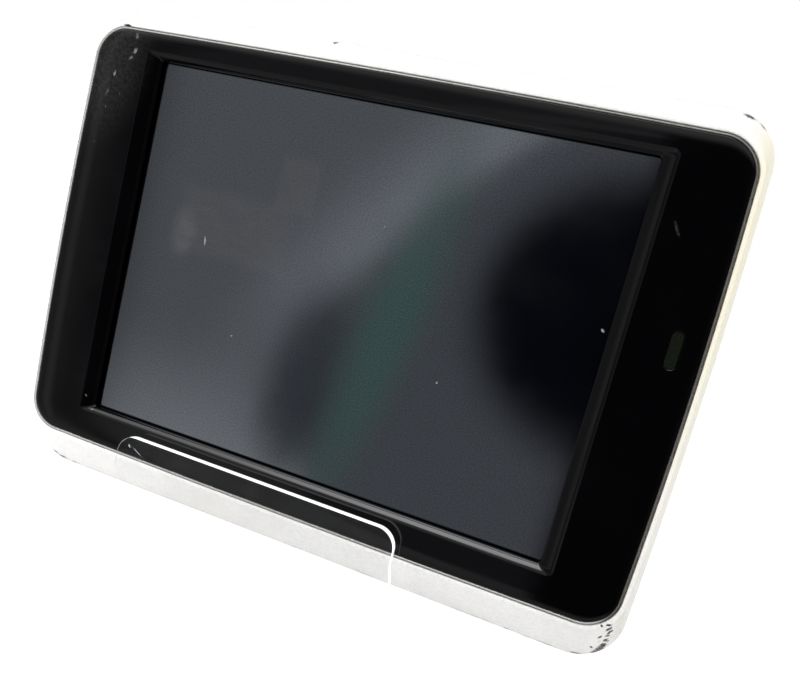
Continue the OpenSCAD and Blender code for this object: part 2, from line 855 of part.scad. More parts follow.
module usb_shell() {
    color("silver") translate([0, 0, usb_low]) difference() {
        linear_extrude(usb_l) usb_profile(0);
        translate([0, 0, -cut]) linear_extrude(usb_l - usb_sheet + cut) usb_profile(usb_sheet);
    }
}

module usb_tongue() {
    top = usb_top - usb_sheet - seat;
    color([0.1, 0.1, 0.1]) block(usb_x, top - tongue_l / 2, usb_w / 2, tongue_l,
        usb_depth - tongue_t / 2, usb_depth + tongue_t / 2);
}

module power_key() {
    flange_low = key_flange_top - key_flange_t;
    stem_low = switch_top + plunger_proud + seat;
    color("gainsboro") translate([key_x, at(key_depth), 0]) {
        translate([0, 0, flange_low])
            linear_extrude(body_h + key_proud - flange_low) stadium(0, 0, key_w, key_t);
        translate([0, 0, flange_low])
            linear_extrude(key_flange_t) stadium(0, 0, key_w + 2 * key_flange, key_t);
        translate([0, 0, stem_low]) cylinder(r = stem_r, h = key_flange_top - stem_low);
    }
}

module power_switch() {
    color([0.15, 0.15, 0.15]) difference() {
        block(key_x, switch_top - switch_h / 2, switch_w, switch_h, on_board, key_depth + switch_wall);
        post(key_x, key_depth, plunger_r + plunger_gap, switch_top - plunger_seat - key_travel - fit,
            switch_top + cut);
    }
}

module power_plunger() {
    color("white") post(key_x, key_depth, plunger_r, switch_top - plunger_seat, switch_top + plunger_proud);
}

module reset_switch() {
    color([0.15, 0.15, 0.15]) difference() {
        block(reset_x, reset_low + reset_h / 2, reset_w, reset_h, on_board, key_depth + switch_wall);
        post(reset_x, key_depth, plunger_r + plunger_gap, reset_low - cut,
            reset_low + reset_seat + reset_travel + fit);
    }
}

module reset_plunger() {
    color("white") post(reset_x, key_depth, plunger_r, reset_low - reset_proud, reset_low + reset_seat);
}

module battery() {
    color("silver") slab(battery_front, battery_back)
        rounded(battery_x, battery_z, battery_w, battery_h, battery_r);
}

module battery_pad() {
    color([0.2, 0.2, 0.2]) slab(on_board, on_board + pad_t)
        rounded(battery_x, battery_z, battery_w - 2 * pad_margin, battery_h - 2 * pad_margin, battery_r);
}

// A lead's plug in its socket on the board
module plug(x, z) {
    block(x, z, plug_w, plug_l, on_board, on_board + plug_t);
}

module battery_lead() {
    color("crimson") lead(battery_right + seat, battery_plug_x - plug_w / 2 - seat, plug_mid, plug_mid,
        battery_plug_z);
}

module battery_plug() {
    color("white") plug(battery_plug_x, battery_plug_z);
}

module speaker_ring(w, h) {
    difference() {
        stadium(speaker_x, speaker_z, w, h);
        stadium(speaker_x, speaker_z, w - 2 * speaker_rim, h - 2 * speaker_rim);
    }
}

module speaker_frame() {
    floor_back = speaker_back - cone_t - 2 * fit;
    color([0.18, 0.18, 0.18]) {
        slab(speaker_front, floor_back + skin) stadium(speaker_x, speaker_z, speaker_w, speaker_h);
        slab(floor_back, speaker_back) speaker_ring(speaker_w, speaker_h);
    }
}

module speaker_cone() {
    inner = 2 * (speaker_rim + fit);
    color([0.1, 0.1, 0.1]) slab(speaker_back - cone_t - fit, speaker_back - fit)
        stadium(speaker_x, speaker_z, speaker_w - inner, speaker_h - inner);
}

module speaker_magnet() {
    color("gray") pin([speaker_x, speaker_z], magnet_r, on_board + magnet_gap, speaker_front - seat);
}

module speaker_gasket() {
    color([0.1, 0.1, 0.1]) slab(speaker_back + seat, inner_back - seat) speaker_ring(speaker_w, speaker_h);
}

module speaker_lead() {
    color("crimson") lead(speaker_x - speaker_w / 2 - seat, speaker_plug_x + plug_w / 2 + seat,
        speaker_front + wire_r, plug_mid, speaker_plug_z);
}

module speaker_plug() {
    color("white") plug(speaker_plug_x, speaker_plug_z);
}

// A screw with a cross in its head
module screw(place, r, head_r, head_t, tip, under_head) {
    difference() {
        union() {
            pin(place, r, tip, under_head);
            pin(place, head_r, under_head, under_head + head_t);
        }
        for (s = [[1.3, 0.25], [0.25, 1.3]])
            block(place[0], place[1], head_r * s[0], head_r * s[1], under_head + head_t / 2,
                under_head + 2 * head_t);
    }
}

module case_screws() {
    color("dimgray") for (p = case_screw_places)
        screw(p, screw_r, screw_head_r, screw_head_t, screw_tip, screw_seat + seat);
}

module board_screws() {
    color("dimgray") for (p = board_screw_places)
        screw(p, board_screw_r, board_screw_head_r, board_screw_head_t, chassis_front, on_board);
}

front_frame();
rear_cover();
face_bezel();
trim_ring();
badge_tab();
status_lens();
window_gasket();
touch_panel();
touch_tail();
panel_tape();
lcd_glass();
lcd_metal_frame();
backlight_tray();
lcd_flex();
chassis();
main_board();
flex_sockets();
status_led();
processor_shield();
receiver_shield();
flash_chips();
patch_antenna();
antenna_ground();
card_socket();
memory_card();
usb_shell();
usb_tongue();
power_key();
power_switch();
power_plunger();
reset_switch();
reset_plunger();
battery();
battery_pad();
battery_lead();
battery_plug();
speaker_frame();
speaker_cone();
speaker_magnet();
speaker_gasket();
speaker_lead();
speaker_plug();
case_screws();
board_screws();
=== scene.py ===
"""Looks of a portable satellite navigator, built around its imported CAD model.

Lengths are in millimetres unless a name says otherwise, and X, Y and Z are those of the CAD model:
X to the right across the screen, Y from the screen to the back, Z up from the surface it stands on.
"""
import json
from collections import namedtuple
from math import atan2, cos, pi, radians, sin
from random import Random

import bmesh
import bpy
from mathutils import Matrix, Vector


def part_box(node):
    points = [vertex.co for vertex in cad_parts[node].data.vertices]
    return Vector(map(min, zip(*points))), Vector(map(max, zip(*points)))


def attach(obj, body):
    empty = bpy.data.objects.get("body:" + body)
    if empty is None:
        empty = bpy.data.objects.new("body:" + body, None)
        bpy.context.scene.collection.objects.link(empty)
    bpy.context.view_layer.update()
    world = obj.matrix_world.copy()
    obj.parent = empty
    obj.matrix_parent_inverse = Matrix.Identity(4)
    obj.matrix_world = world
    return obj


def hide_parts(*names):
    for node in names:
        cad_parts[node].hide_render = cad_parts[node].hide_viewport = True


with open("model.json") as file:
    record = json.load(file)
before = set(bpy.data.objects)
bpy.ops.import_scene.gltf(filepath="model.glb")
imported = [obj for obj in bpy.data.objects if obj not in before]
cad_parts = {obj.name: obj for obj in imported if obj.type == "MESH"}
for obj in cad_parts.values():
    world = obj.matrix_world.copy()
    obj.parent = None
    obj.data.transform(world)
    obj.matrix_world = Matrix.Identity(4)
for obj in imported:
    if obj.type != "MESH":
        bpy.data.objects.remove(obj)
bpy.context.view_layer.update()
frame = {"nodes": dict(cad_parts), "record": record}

MM = 0.001
SCENE = bpy.context.scene


# Measures taken from the frame

def node_box(name):
    """Lowest and highest corner of a CAD node, in millimetres."""
    low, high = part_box(name)
    return low / MM, high / MM


face_low, face_high = node_box("face_bezel")
case_low, case_high = node_box("front_frame")
back_high = node_box("rear_cover")[1]
ring_low, ring_high = node_box("trim_ring")
tab_low, tab_high = node_box("badge_tab")
touch_low, touch_high = node_box("touch_panel")
lens_low, lens_high = node_box("status_lens")
key_low, key_high = node_box("power_key")
card_low, card_high = node_box("memory_card")
usb_low, usb_high = node_box("usb_shell")
reset_low, reset_high = node_box("reset_plunger")
speaker_low, speaker_high = node_box("speaker_frame")
screw_low, screw_high = node_box("case_screws")

face_y = face_low.y
parting_y = case_high.y
back_y = back_high.y

# Forms that the boxes don't tell. Outlines: bulge of the sides, of the face's top and bottom, corner radii
CROWN = 0.7
FACE_RISE = 0.3
FACE_R = 4.0
BODY_R = 6.3
# Face panel: thickness, fall and width of its rolled edge, width on top, reach past the CAD outline
BEZEL_T = 1.4
BEZEL_ROLL = 0.4
ROLL_W = 3.2
ROLL_TOP = 2.0
FACE_LAP = 0.18
# Window: how far inside the touch panel's edge it starts; its bevel at the sides, at the ends and in depth
TOUCH_LAP = 1.8
BEVEL_SIDE = 1.9
BEVEL_END = 0.85
BEVEL_DEPTH = 1.0
# Trim: gap to the face panel, how much narrower it is than the CAD ring, its fall, and the seam round it
TRIM_GAP = 0.03
TRIM_CUT = 0.16
TRIM_FALL = 0.06
SEAM = 0.25
# Front frame: width and depth of its rim, depths of its widest edge and of its inner ledge
RIM_LAND = 0.51
RIM_DROP = 0.35
EDGE_DEPTH = 4.7
LEDGE_DEPTH = 3.35
# Both case halves: wall, lean of the sides, depth and width of the round back edge
WALL = 1.8
SIDE_DRAFT = 0.5
BACK_ROUND = 4.4
BACK_INSET = 4.2
# Small edges: radius, and the share of it at which their middle point lies
FILLET = 0.12
FILLET_MID = 0.3
# How far a cutter runs on past what it cuts
PAST = 1.0


def depth(d):
    """Y at a depth behind the face."""
    return face_y + d


# Outlines, sections and lofts

CORNER_STEPS = 16
SIDE_STEPS = 20
# An outline at one Y: half width, lowest and highest Z, corner radius, bulge of the sides and of the ends
Section = namedtuple("Section", "y half low high r crown rise")


def blend(a, b, share):
    """The section that lies at a share of the way from a to b."""
    return Section(*(p + (q - p) * share for p, q in zip(a, b)))


def arc_blend(a, b, c, share):
    """The section at a share of the curve that leaves a towards b and comes to c from b."""
    return blend(blend(a, b, share), blend(b, c, share), share)


def grown(section, amount, y):
    """A section grown outwards by an amount, at another Y."""
    return section._replace(y=y, half=section.half + amount, low=section.low - amount,
                            high=section.high + amount, r=max(section.r + amount, FILLET))


def corner_and_side(half, tall, r):
    """Points round a rounded rectangle about its middle, from the right side anticlockwise."""
    ends = [(half - r, tall - r), (r - half, tall - r), (r - half, r - tall), (half - r, r - tall)]
    points = []
    for quarter, (x, z) in enumerate(ends):
        turn = [quarter * pi / 2 + pi / 2 * i / CORNER_STEPS for i in range(CORNER_STEPS + 1)]
        points += [(x + r * cos(a), z + r * sin(a)) for a in turn]
        a = (quarter + 1) * pi / 2
        next_x, next_z = ends[(quarter + 1) % 4]
        start = (x + r * cos(a), z + r * sin(a))
        end = (next_x + r * cos(a), next_z + r * sin(a))
        points += [tuple(p + (q - p) * i / SIDE_STEPS for p, q in zip(start, end))
                   for i in range(1, SIDE_STEPS)]
    return points


def ring(section):
    """A section's points in space; its sides bulge by the crown, its top and bottom by the rise."""
    half, low = section.half, section.low
    tall = (section.high - low) / 2
    return [(x * (1 + section.crown / half * (1 - (z / tall) ** 2)), section.y,
             low + tall + z * (1 + section.rise / tall * (1 - (x / half) ** 2)))
            for x, z in corner_and_side(half, tall, section.r)]


def loft(rings, closed=False):
    """A mesh through rings of equally many points; open ends get a cap, closed ones meet."""
    made = bmesh.new()
    rows = [[made.verts.new(Vector(p) * MM) for p in points] for points in rings]
    pairs = list(zip(rows, rows[1:])) + ([(rows[-1], rows[0])] if closed else [])
    for a, b in pairs:
        for i in range(len(a)):
            k = (i + 1) % len(a)
            made.faces.new((a[i], a[k], b[k], b[i]))
    if not closed:
        made.faces.new(rows[0][::-1])
        made.faces.new(rows[-1])
    bmesh.ops.recalc_face_normals(made, faces=made.faces)
    return as_mesh(made)


def as_mesh(made):
    """Turns a bmesh into a mesh and frees it."""
    mesh = bpy.data.meshes.new("piece")
    made.to_mesh(mesh)
    made.free()
    return mesh


def joined(meshes):
    """One mesh that holds several."""
    made = bmesh.new()
    for mesh in meshes:
        made.from_mesh(mesh)
    return as_mesh(made)


def carved(mesh, tool, operation="DIFFERENCE"):
    """The mesh after a boolean operation with a tool mesh."""
    body = bpy.data.objects.new("carved", mesh)
    cutter = bpy.data.objects.new("cutter", tool)
    for each in (body, cutter):
        SCENE.collection.objects.link(each)
    cut = body.modifiers.new("cut", "BOOLEAN")
    cut.operation = operation
    cut.object = cutter
    cut.solver = "EXACT"
    graph = bpy.context.evaluated_depsgraph_get()
    result = bpy.data.meshes.new_from_object(body.evaluated_get(graph), depsgraph=graph)
    for each in (body, cutter):
        bpy.data.objects.remove(each)
    return result


SMOOTH_ANGLE = radians(28)


def piece(name, mesh, body, slot, replaces=(), second=None):
    """A shown object that rides on a CAD body, takes a slot's finish and may stand for CAD nodes."""
    mesh.shade_smooth()
    mesh.set_sharp_from_angle(angle=SMOOTH_ANGLE)
    mesh.materials.clear()
    for finish in (slot, second) if second else (slot,):
        mesh.materials.append(materials[finish])
    o = bpy.data.objects.new(name, mesh)
    SCENE.collection.objects.link(o)
    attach(o, body)
    if replaces:
        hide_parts(*replaces)


SLIVER = 0.01


def prism(w, h, r, place, levels):
    """A block with a rounded cross-section; levels are its heights and how far it is grown there."""
    return loft([[place(a, b, height) for a, b in corner_and_side(w / 2 + g, h / 2 + g, r + g)]
                 for height, g in levels])


def round_ended(w, h, place, levels):
    """A block with full round ends, which leave a sliver of straight side."""
    return prism(w, h, min(w, h) / 2 - SLIVER, place, levels)


def facing_back(x, z):
    """Places cross-sections in X and Z, stacked along Y."""
    return lambda a, b, height: (x + a, height, z + b)


def facing_up(x, y):
    """Places cross-sections in X and Y, stacked along Z."""
    return lambda a, b, height: (x + a, y + b, height)


def facing_side(y, z):
    """Places cross-sections in Y and Z, stacked along X."""
    return lambda a, b, height: (height, y + a, z + b)


# Shader helpers

# The span that most of a noise falls in
NOISE_SPAN = (0.3, 0.7)


class Graph:
    """Short ways to add nodes to a material's or a world's tree."""

    def __init__(self, owner):
        owner.use_nodes = True
        self.tree = owner.node_tree
        self.place = None

    def node(self, kind, inputs=None, **settings):
        """Adds a node; its inputs are values or the outputs of other nodes."""
        made = self.tree.nodes.new(kind)
        for key, value in settings.items():
            setattr(made, key, value)
        for key, value in (inputs or {}).items():
            self.put(made.inputs[key], value)
        return made

    def put(self, socket, value):
        """Links an output to a socket, or sets the socket's value."""
        if isinstance(value, bpy.types.NodeSocket):
            self.tree.links.new(value, socket)
        else:
            socket.default_value = value

    def vector(self, operation, a, b=None, scale=None):
        made = self.node("ShaderNodeVectorMath", {0: a}, operation=operation)
        if b is not None:
            self.put(made.inputs[1], b)
        if scale is not None:
            made.inputs["Scale"].default_value = scale
        return made.outputs["Value" if operation == "LENGTH" else "Vector"]

    def math(self, operation, a, b=0.0, clamp=False):
        return self.node("ShaderNodeMath", {0: a, 1: b}, operation=operation, use_clamp=clamp).outputs[0]

    def times(self, a, b):
        return self.math("MULTIPLY", a, b)

    def plus(self, a, b, clamp=False):
        return self.math("ADD", a, b, clamp)

    def minus(self, a, b):
        return self.math("SUBTRACT", a, b)

    def larger(self, a, b):
        return self.math("MAXIMUM", a, b)

    def axes(self, vector):
        return self.node("ShaderNodeSeparateXYZ", {0: vector}).outputs

    def turned(self, middle, turn):
        """The place as seen from a middle in X and Z, turned by degrees about Y."""
        away = self.vector("SUBTRACT", self.place, (middle[0], 0, middle[1]))
        spin = {"Vector": away, "Axis": (0, 1, 0), "Angle": radians(turn)}
        return self.node("ShaderNodeVectorRotate", spin, rotation_type="AXIS_ANGLE").outputs[0]

    def oval(self, middle, half, turn=0):
        """How far off an oval's middle in X and Z the place is: 1 at the oval's rim."""
        return self.vector("LENGTH", self.vector("MULTIPLY", self.turned(middle, turn),
                                                 (1 / half[0], 0, 1 / half[1])))

    def noise(self, scale, detail=3.0, roughness=0.55, place=None):
        """Cloudy noise from 0 to 1; the scale counts features per millimetre."""
        return self.node("ShaderNodeTexNoise", {
            "Vector": place or self.place, "Scale": scale, "Detail": detail, "Roughness": roughness,
        }).outputs[0]

    def cells(self, scale):
        """Distance to the nearest of scattered points."""
        inputs = {"Vector": self.place, "Scale": scale}
        return self.node("ShaderNodeTexVoronoi", inputs).outputs["Distance"]

    def ramp(self, value, low, high, to_low=0.0, to_high=1.0):
        """Maps a value smoothly from one span to another."""
        return self.node("ShaderNodeMapRange", {
            "Value": value, "From Min": low, "From Max": high, "To Min": to_low, "To Max": to_high,
        }, interpolation_type="SMOOTHSTEP").outputs[0]

    def spread(self, noise, to_low=0.0, to_high=1.0):
        """Maps a noise to a span that it fills."""
        return self.ramp(noise, *NOISE_SPAN, to_low, to_high)

    def mix(self, share, a, b):
        """Mixes two colours."""
        made = self.node("ShaderNodeMix", data_type="RGBA")
        self.put(made.inputs[0], share)
        self.put(made.inputs[6], a)
        self.put(made.inputs[7], b)
        return made.outputs[2]

    def bump(self, height, distance, normal=None):
        """A bump from a pattern, scaled to a distance in millimetres."""
        made = self.node("ShaderNodeBump", {"Height": height, "Distance": distance * MM, "Strength": 1.0})
        if normal is not None:
            self.put(made.inputs["Normal"], normal)
        return made.outputs[0]


class Shader(Graph):
    """A material with a Principled shader; its place is in millimetres."""

    def __init__(self, name, **sockets):
        self.material = bpy.data.materials.new(name)
        super().__init__(self.material)
        self.bsdf = self.tree.nodes["Principled BSDF"]
        for socket, value in sockets.items():
            self.bsdf.inputs[socket.replace("_", " ")].default_value = value
        place = self.node("ShaderNodeTexCoord").outputs["Object"]
        self.place = self.vector("SCALE", place, scale=1 / MM)

    def set(self, socket, value):
        """Sets or links one of the Principled shader's inputs."""
        self.put(self.bsdf.inputs[socket], value)

    def stretched(self, x, y, z):
        """The place in millimetres, multiplied along each axis."""
        return self.vector("MULTIPLY", self.place, (x, y, z))


def colour(r, g, b):
    """An opaque colour, in linear light."""
    return (r, g, b, 1.0)


# Materials of the outer surfaces; s is each one's shader

# Places where the paint is chipped off, as seen: middle in X, Y and Z, and half lengths
CHIPS = [
    ((46.0, -4.5, 3.5), (0.6, 1.0, 0.9)),
    ((45.8, -4.1, 2.7), (0.8, 1.0, 0.9)),
    ((45.5, -3.7, 2.0), (1.0, 0.8, 0.8)),
    ((43.3, -3.7, 0.8), (1.3, 0.4, 0.4)),
    ((39.1, -3.4, 0.4), (1.6, 0.35, 0.35)),
    ((36.5, -3.3, 0.3), (1.0, 0.35, 0.35)),
    ((33.7, -3.5, 0.5), (0.6, 0.3, 0.3)),
    ((44.7, -4.8, 2.9), (0.3, 0.4, 0.3)),
    ((43.6, -4.0, 71.3), (1.1, 0.8, 0.55)),
    ((45.6, -3.7, 70.7), (0.8, 0.5, 0.8)),
    ((-45.4, -4.3, 2.7), (0.3, 0.35, 0.35)),
    ((-43.2, -4.2, 1.3), (0.7, 0.4, 0.4)),
    ((-42.0, -3.9, 0.9), (1.2, 0.45, 0.4)),
    ((-39.6, -3.7, 0.65), (0.7, 0.4, 0.3)),
    ((-41.7, -7.6, 68.2), (0.75, 0.5, 0.25)),
    ((-10.6, -4.1, 71.75), (0.45, 0.8, 0.6)),
    ((34.9, -7.4, 68.5), (0.2, 0.25, 0.2)),
]
# A trail of flecks up the chin's right corner: from, to, and how far they stray
TRAIL = ((46.0, -4.6, 3.6), (45.2, -7.5, 7.9), (0.6, 0.2, 0.3))
TRAIL_COUNT = 14
TRAIL_SEED = 3
# Half lengths of a fleck, across and along, and the axes that it may lie along
FLECK = 0.3
FLECK_LENGTH = (0.7, 1.3)
FLECK_AXES = (0, 0, 1, 2)
UNDERCOAT = colour(0.012, 0.009, 0.022)


def flecks():
    """Middles and half lengths of the trail's short flecks, each longest along an axis picked at random."""
    pick = Random(TRAIL_SEED)
    start, end, stray = (Vector(p) for p in TRAIL)
    for i in range(TRAIL_COUNT):
        middle = start.lerp(end, (i + pick.random()) / TRAIL_COUNT)
        middle += Vector(pick.uniform(-s, s) for s in stray)
        half = [FLECK, FLECK, FLECK]
        half[pick.choice(FLECK_AXES)] = pick.uniform(*FLECK_LENGTH)
        yield middle, half


def case_paint():
    """Silvery white paint with a fine orange peel, worn through along the widest edge."""
    s = Shader("case_paint", IOR=1.5, Coat_Weight=0.35, Coat_Roughness=0.08)
    ragged = s.noise(3.6, 9.0, 0.9)
    edge_y = depth(EDGE_DEPTH)
    along = s.axes(s.place)
    off_edge = s.math("ABSOLUTE", s.minus(along["Y"], edge_y))
    near_edge = s.ramp(off_edge, 0.9, 0.1)
    patches = s.ramp(s.noise(0.11, 2.0), 0.6, 0.72)
    worn = s.times(s.times(near_edge, patches), s.ramp(ragged, 0.5, 0.6))
    for middle, half in CHIPS + list(flecks()):
        offset = s.vector("DIVIDE", s.vector("SUBTRACT", s.place, middle), half)
        left = s.minus(ragged, s.times(s.vector("LENGTH", offset), 0.27))
        worn = s.larger(worn, s.ramp(left, 0.31, 0.34))
    flake = s.noise(2.2, 5.0, 0.8)
    cloud = s.noise(0.09, 5.0, 0.65)
    paint = s.mix(s.spread(cloud), colour(0.60, 0.59, 0.575), colour(0.66, 0.655, 0.645))
    paint = s.mix(s.ramp(flake, 0.42, 0.62, 0.0, 0.5), paint, colour(0.5, 0.495, 0.49))
    # Cream tint on the right flank, stronger towards the top
    cream_right_flank = s.times(s.ramp(along["X"], 43.5, 47), s.ramp(along["Z"], 12, 55, 0.2, 1.0))
    paint = s.mix(cream_right_flank, paint, colour(0.63, 0.595, 0.48))
    s.set("Base Color", s.mix(worn, paint, UNDERCOAT))
    s.set("Roughness", s.spread(s.noise(0.4, 4.0), 0.34, 0.46))
    peel = s.bump(s.noise(2.2, 2.0), 0.006)
    s.set("Normal", s.bump(s.minus(1.0, worn), 0.05, normal=peel))
    return s.material


# Pale smears on the face: middle in X and Z, half lengths, turn and strength
SMEARS = [
    ((-39.3, 64.8), (0.3, 0.5), -25, 1.0), ((-39.8, 63.8), (0.25, 0.4), -40, 0.7),
    ((-42.1, 61.2), (0.2, 0.5), -10, 1.0), ((-39.5, 66.9), (0.25, 0.5), 20, 0.5),
    ((-42.8, 58.5), (0.25, 0.8), -8, 0.2), ((-40.6, 58.5), (0.1, 0.3), -8, 0.25),
    ((-42.6, 56.3), (0.12, 0.25), 0, 0.5), ((-43.5, 51.0), (0.1, 0.2), 0, 0.4),
    ((-36.6, 13.4), (0.1, 0.2), 30, 1.0), ((-35.1, 11.5), (0.25, 0.1), 20, 1.0),
    ((39.3, 56.4), (0.2, 1.1), 30, 0.12),
]
# Where dust clings to the face
DUST = ((-43.5, 65), (7, 14))


def face_gloss():
    """Gloss black lacquer with fine scratches, smears, dust and dull wiped patches."""
    s = Shader("face_gloss", IOR=1.46)
    broken = s.noise(3.0, 4.0, 0.7)
    pale = s.times(s.ramp(s.cells(0.6), 0.05, 0.02), s.ramp(broken, 0.5, 0.7, 0.0, 0.3))
    for middle, half, turn, strength in SMEARS:
        left = s.minus(broken, s.times(s.oval(middle, half, turn), 0.3))
        pale = s.larger(pale, s.ramp(left, 0.15, 0.5, 0.0, strength))
    specks = s.spread(s.noise(1.5, 6.0, 0.8), 0.01, 0.09)
    pale = s.plus(pale, s.times(s.ramp(s.oval(*DUST), 1.2, 0.3), specks))
    hair = s.ramp(s.noise(1.0, 1.0, place=s.stretched(0.08, 0.08, 2.4)), 0.7, 0.76)
    base = s.mix(s.noise(0.2, 3.0), colour(0.0004, 0.0004, 0.0006), colour(0.001, 0.001, 0.0013))
    s.set("Base Color", s.mix(pale, base, colour(0.15, 0.15, 0.145)))
    wiped = s.ramp(s.noise(0.12, 4.0, place=s.stretched(0.5, 1, 1.4)), 0.35, 0.75, 0.06, 0.15)
    s.set("Roughness", s.plus(wiped, s.times(hair, 0.08)))
    s.set("Normal", s.bump(s.noise(0.35, 2.0), 0.004))
    return s.material


def trim_chrome():
    """Satin plating, clouded and pitted, with painted shade along the top and a painted dark brown
    reflection on the right.
    """
    s = Shader("trim_chrome", Metallic=0.6)
    cloud = s.noise(0.25, 4.0)
    plating = s.mix(cloud, colour(0.74, 0.73, 0.71), colour(0.6, 0.59, 0.57))
    along = s.axes(s.place)
    # Painted shade: the top, more so to the right, darkened to dim its reflection
    painted_shade_top = s.times(s.ramp(along["Z"], 58, 66), s.ramp(along["X"], -12, 28, 0.3, 0.85))
    plating = s.mix(painted_shade_top, plating, colour(0.1, 0.097, 0.09))
    # Painted dark brown reflection on the right, where the ring mirrors a dark room
    painted_reflection_right = s.plus(along["X"], s.times(cloud, 3.0))
    s.set("Base Color", s.mix(s.ramp(painted_reflection_right, 45.0, 47.0), plating, colour(0.18, 0.165, 0.145)))
    s.set("Roughness", s.ramp(cloud, 0.3, 0.75, 0.2, 0.36))
    s.set("Normal", s.bump(s.noise(3.0, 2.0), 0.004))
    return s.material


# Pale marks at the tab's upper left corner: middle in X and Z, half lengths and turn
TAB_PALE_MARKS = [((-24.1, 8.5), (1.4, 0.08), -27), ((-25.6, 9.0), (0.4, 0.2), -60)]


def clear_acrylic():
    """Clear sheet with a faint haze; painted highlight and glow on its cut edges to the top and right, a
    painted grey line on the front edges to the left, and haze painted lighter over the face and darker over
    the chin.
    """
    s = Shader("clear_acrylic", IOR=1.49, Emission_Color=colour(1, 1, 1))
    surface = s.node("ShaderNodeNewGeometry").outputs
    facing = s.axes(surface["Normal"])
    outside = s.minus(1.0, surface["Backfacing"])
    outside = s.times(outside, s.ramp(facing["Y"], 0.5, 0.3))
    # Painted highlight: cut edges that face up or right are painted white
    painted_edge_light = s.times(s.ramp(s.plus(facing["X"], facing["Z"]), 0.35, 0.6), outside)
    # Painted grey shade on the front edges that face left
    rim = s.times(s.ramp(facing["X"], -0.2, -0.45), s.ramp(facing["Y"], -0.15, -0.4))
    scratch = s.ramp(s.noise(0.9, 2.0, place=s.stretched(0.15, 1, 1.2)), 0.64, 0.74)
    haze = s.ramp(s.noise(0.25, 4.0), 0.3, 0.75, 0.012, 0.03)
    haze = s.plus(haze, s.times(scratch, 0.015))
    haze = s.plus(haze, s.times(s.times(rim, outside), 0.6))
    front = s.times(outside, s.ramp(facing["Y"], -0.5, -0.8))
    # The pale colour: the painted highlight on the edges, and the pale marks
    pale = painted_edge_light
    for place in TAB_PALE_MARKS:
        mark = s.times(front, s.ramp(s.oval(*place), 1.0, 0.4))
        haze = s.plus(haze, s.times(mark, 0.3))
        pale = s.larger(pale, mark)
    # Haze colour by height: a painted sheen over the black face and painted shade over the white chin
    painted_sheen_and_shade = s.mix(s.ramp(s.axes(s.place)["Z"], 6.2, 7.4), colour(0.1, 0.1, 0.1), colour(0.42, 0.43, 0.43))
    tint = s.mix(rim, colour(0.16, 0.165, 0.16), painted_sheen_and_shade)
    s.set("Base Color", s.mix(pale, tint, colour(0.9, 0.92, 0.92)))
    s.set("Alpha", s.plus(haze, s.times(painted_edge_light, 0.9), clamp=True))
    # Painted glow on those edges
    s.set("Emission Strength", s.times(painted_edge_light, 0.35))
    s.set("Roughness", s.spread(s.noise(0.3), 0.05, 0.12))
    s.set("Normal", s.bump(scratch, 0.002))
    return s.material


# Dried residue on the film, in two pieces and a whiter end: middle in X and Z, half lengths, and strength
RESIDUE = [((-19.0, 43.6), (9.4, 5.1), 0.34), ((-10.2, 51.5), (3.2, 4.0), 0.28)]
WHITER_END = ((-26.6, 41.4), (2.6, 4.4))
# Scratches and dots on the film: middle in X and Z, half lengths and turn
NICKS = [
    ((-22.8, 40.9), (0.18, 0.85), 10), ((16.0, 30.6), (0.2, 0.2), 0), ((34.6, 42.8), (0.35, 0.2), -40),
    ((-15.3, 28.6), (0.15, 0.15), 0), ((3.6, 48.9), (0.13, 0.13), 0),
]


def touch_film():
    """Matte film over the dark display: hazy, finely grained, with residue and nicks."""
    s = Shader("touch_film", Metallic=1.0)
    grain = s.noise(5.0, 2.0, 0.8)
    smear = s.noise(0.12, 5.0, 0.6)
    film = s.mix(s.spread(grain), colour(0.26, 0.28, 0.31), colour(0.42, 0.44, 0.47))
    streaks = s.noise(0.5, 6.0, 0.75, place=s.stretched(0.6, 1, 1))
    for middle, half, strength in RESIDUE:
        away = s.vector("MULTIPLY", s.turned(middle, 0), (1 / half[0], 0, 1 / half[1]))
        off = s.axes(s.vector("ABSOLUTE", away))
        inside = s.plus(s.larger(off["X"], off["Z"]), s.times(streaks, 0.5))
        residue = s.times(s.ramp(inside, 1.4, 0.95), s.ramp(streaks, 0.25, 0.8, 0.1, strength))
        film = s.mix(residue, film, colour(0.6, 0.575, 0.56))
    whiter = s.times(s.ramp(s.oval(*WHITER_END), 1.1, 0.3), s.spread(streaks, 0.15, 0.4))
    film = s.mix(whiter, film, colour(0.78, 0.78, 0.77))
    nicks = [s.ramp(s.oval(*nick), 1.0, 0.5) for nick in NICKS]
    for nick in nicks:
        film = s.mix(nick, film, colour(1, 1, 1))
    s.set("Base Color", film)
    matte = s.ramp(smear, 0.3, 0.75, 0.08, 0.12)
    for nick in nicks:
        matte = s.plus(matte, nick)
    s.set("Roughness", matte)
    s.set("Normal", s.bump(grain, 0.0004))
    return s.material


def lens_smoke():
    """Smoked indicator lens, faintly green inside."""
    s = Shader("lens_smoke", IOR=1.5, Coat_Weight=0.5, Coat_Roughness=0.05)
    s.set("Base Color", s.mix(s.noise(0.5), colour(0.003, 0.0045, 0.0025), colour(0.006, 0.008, 0.004)))
    s.set("Roughness", s.spread(s.noise(1.5), 0.15, 0.3))
    return s.material


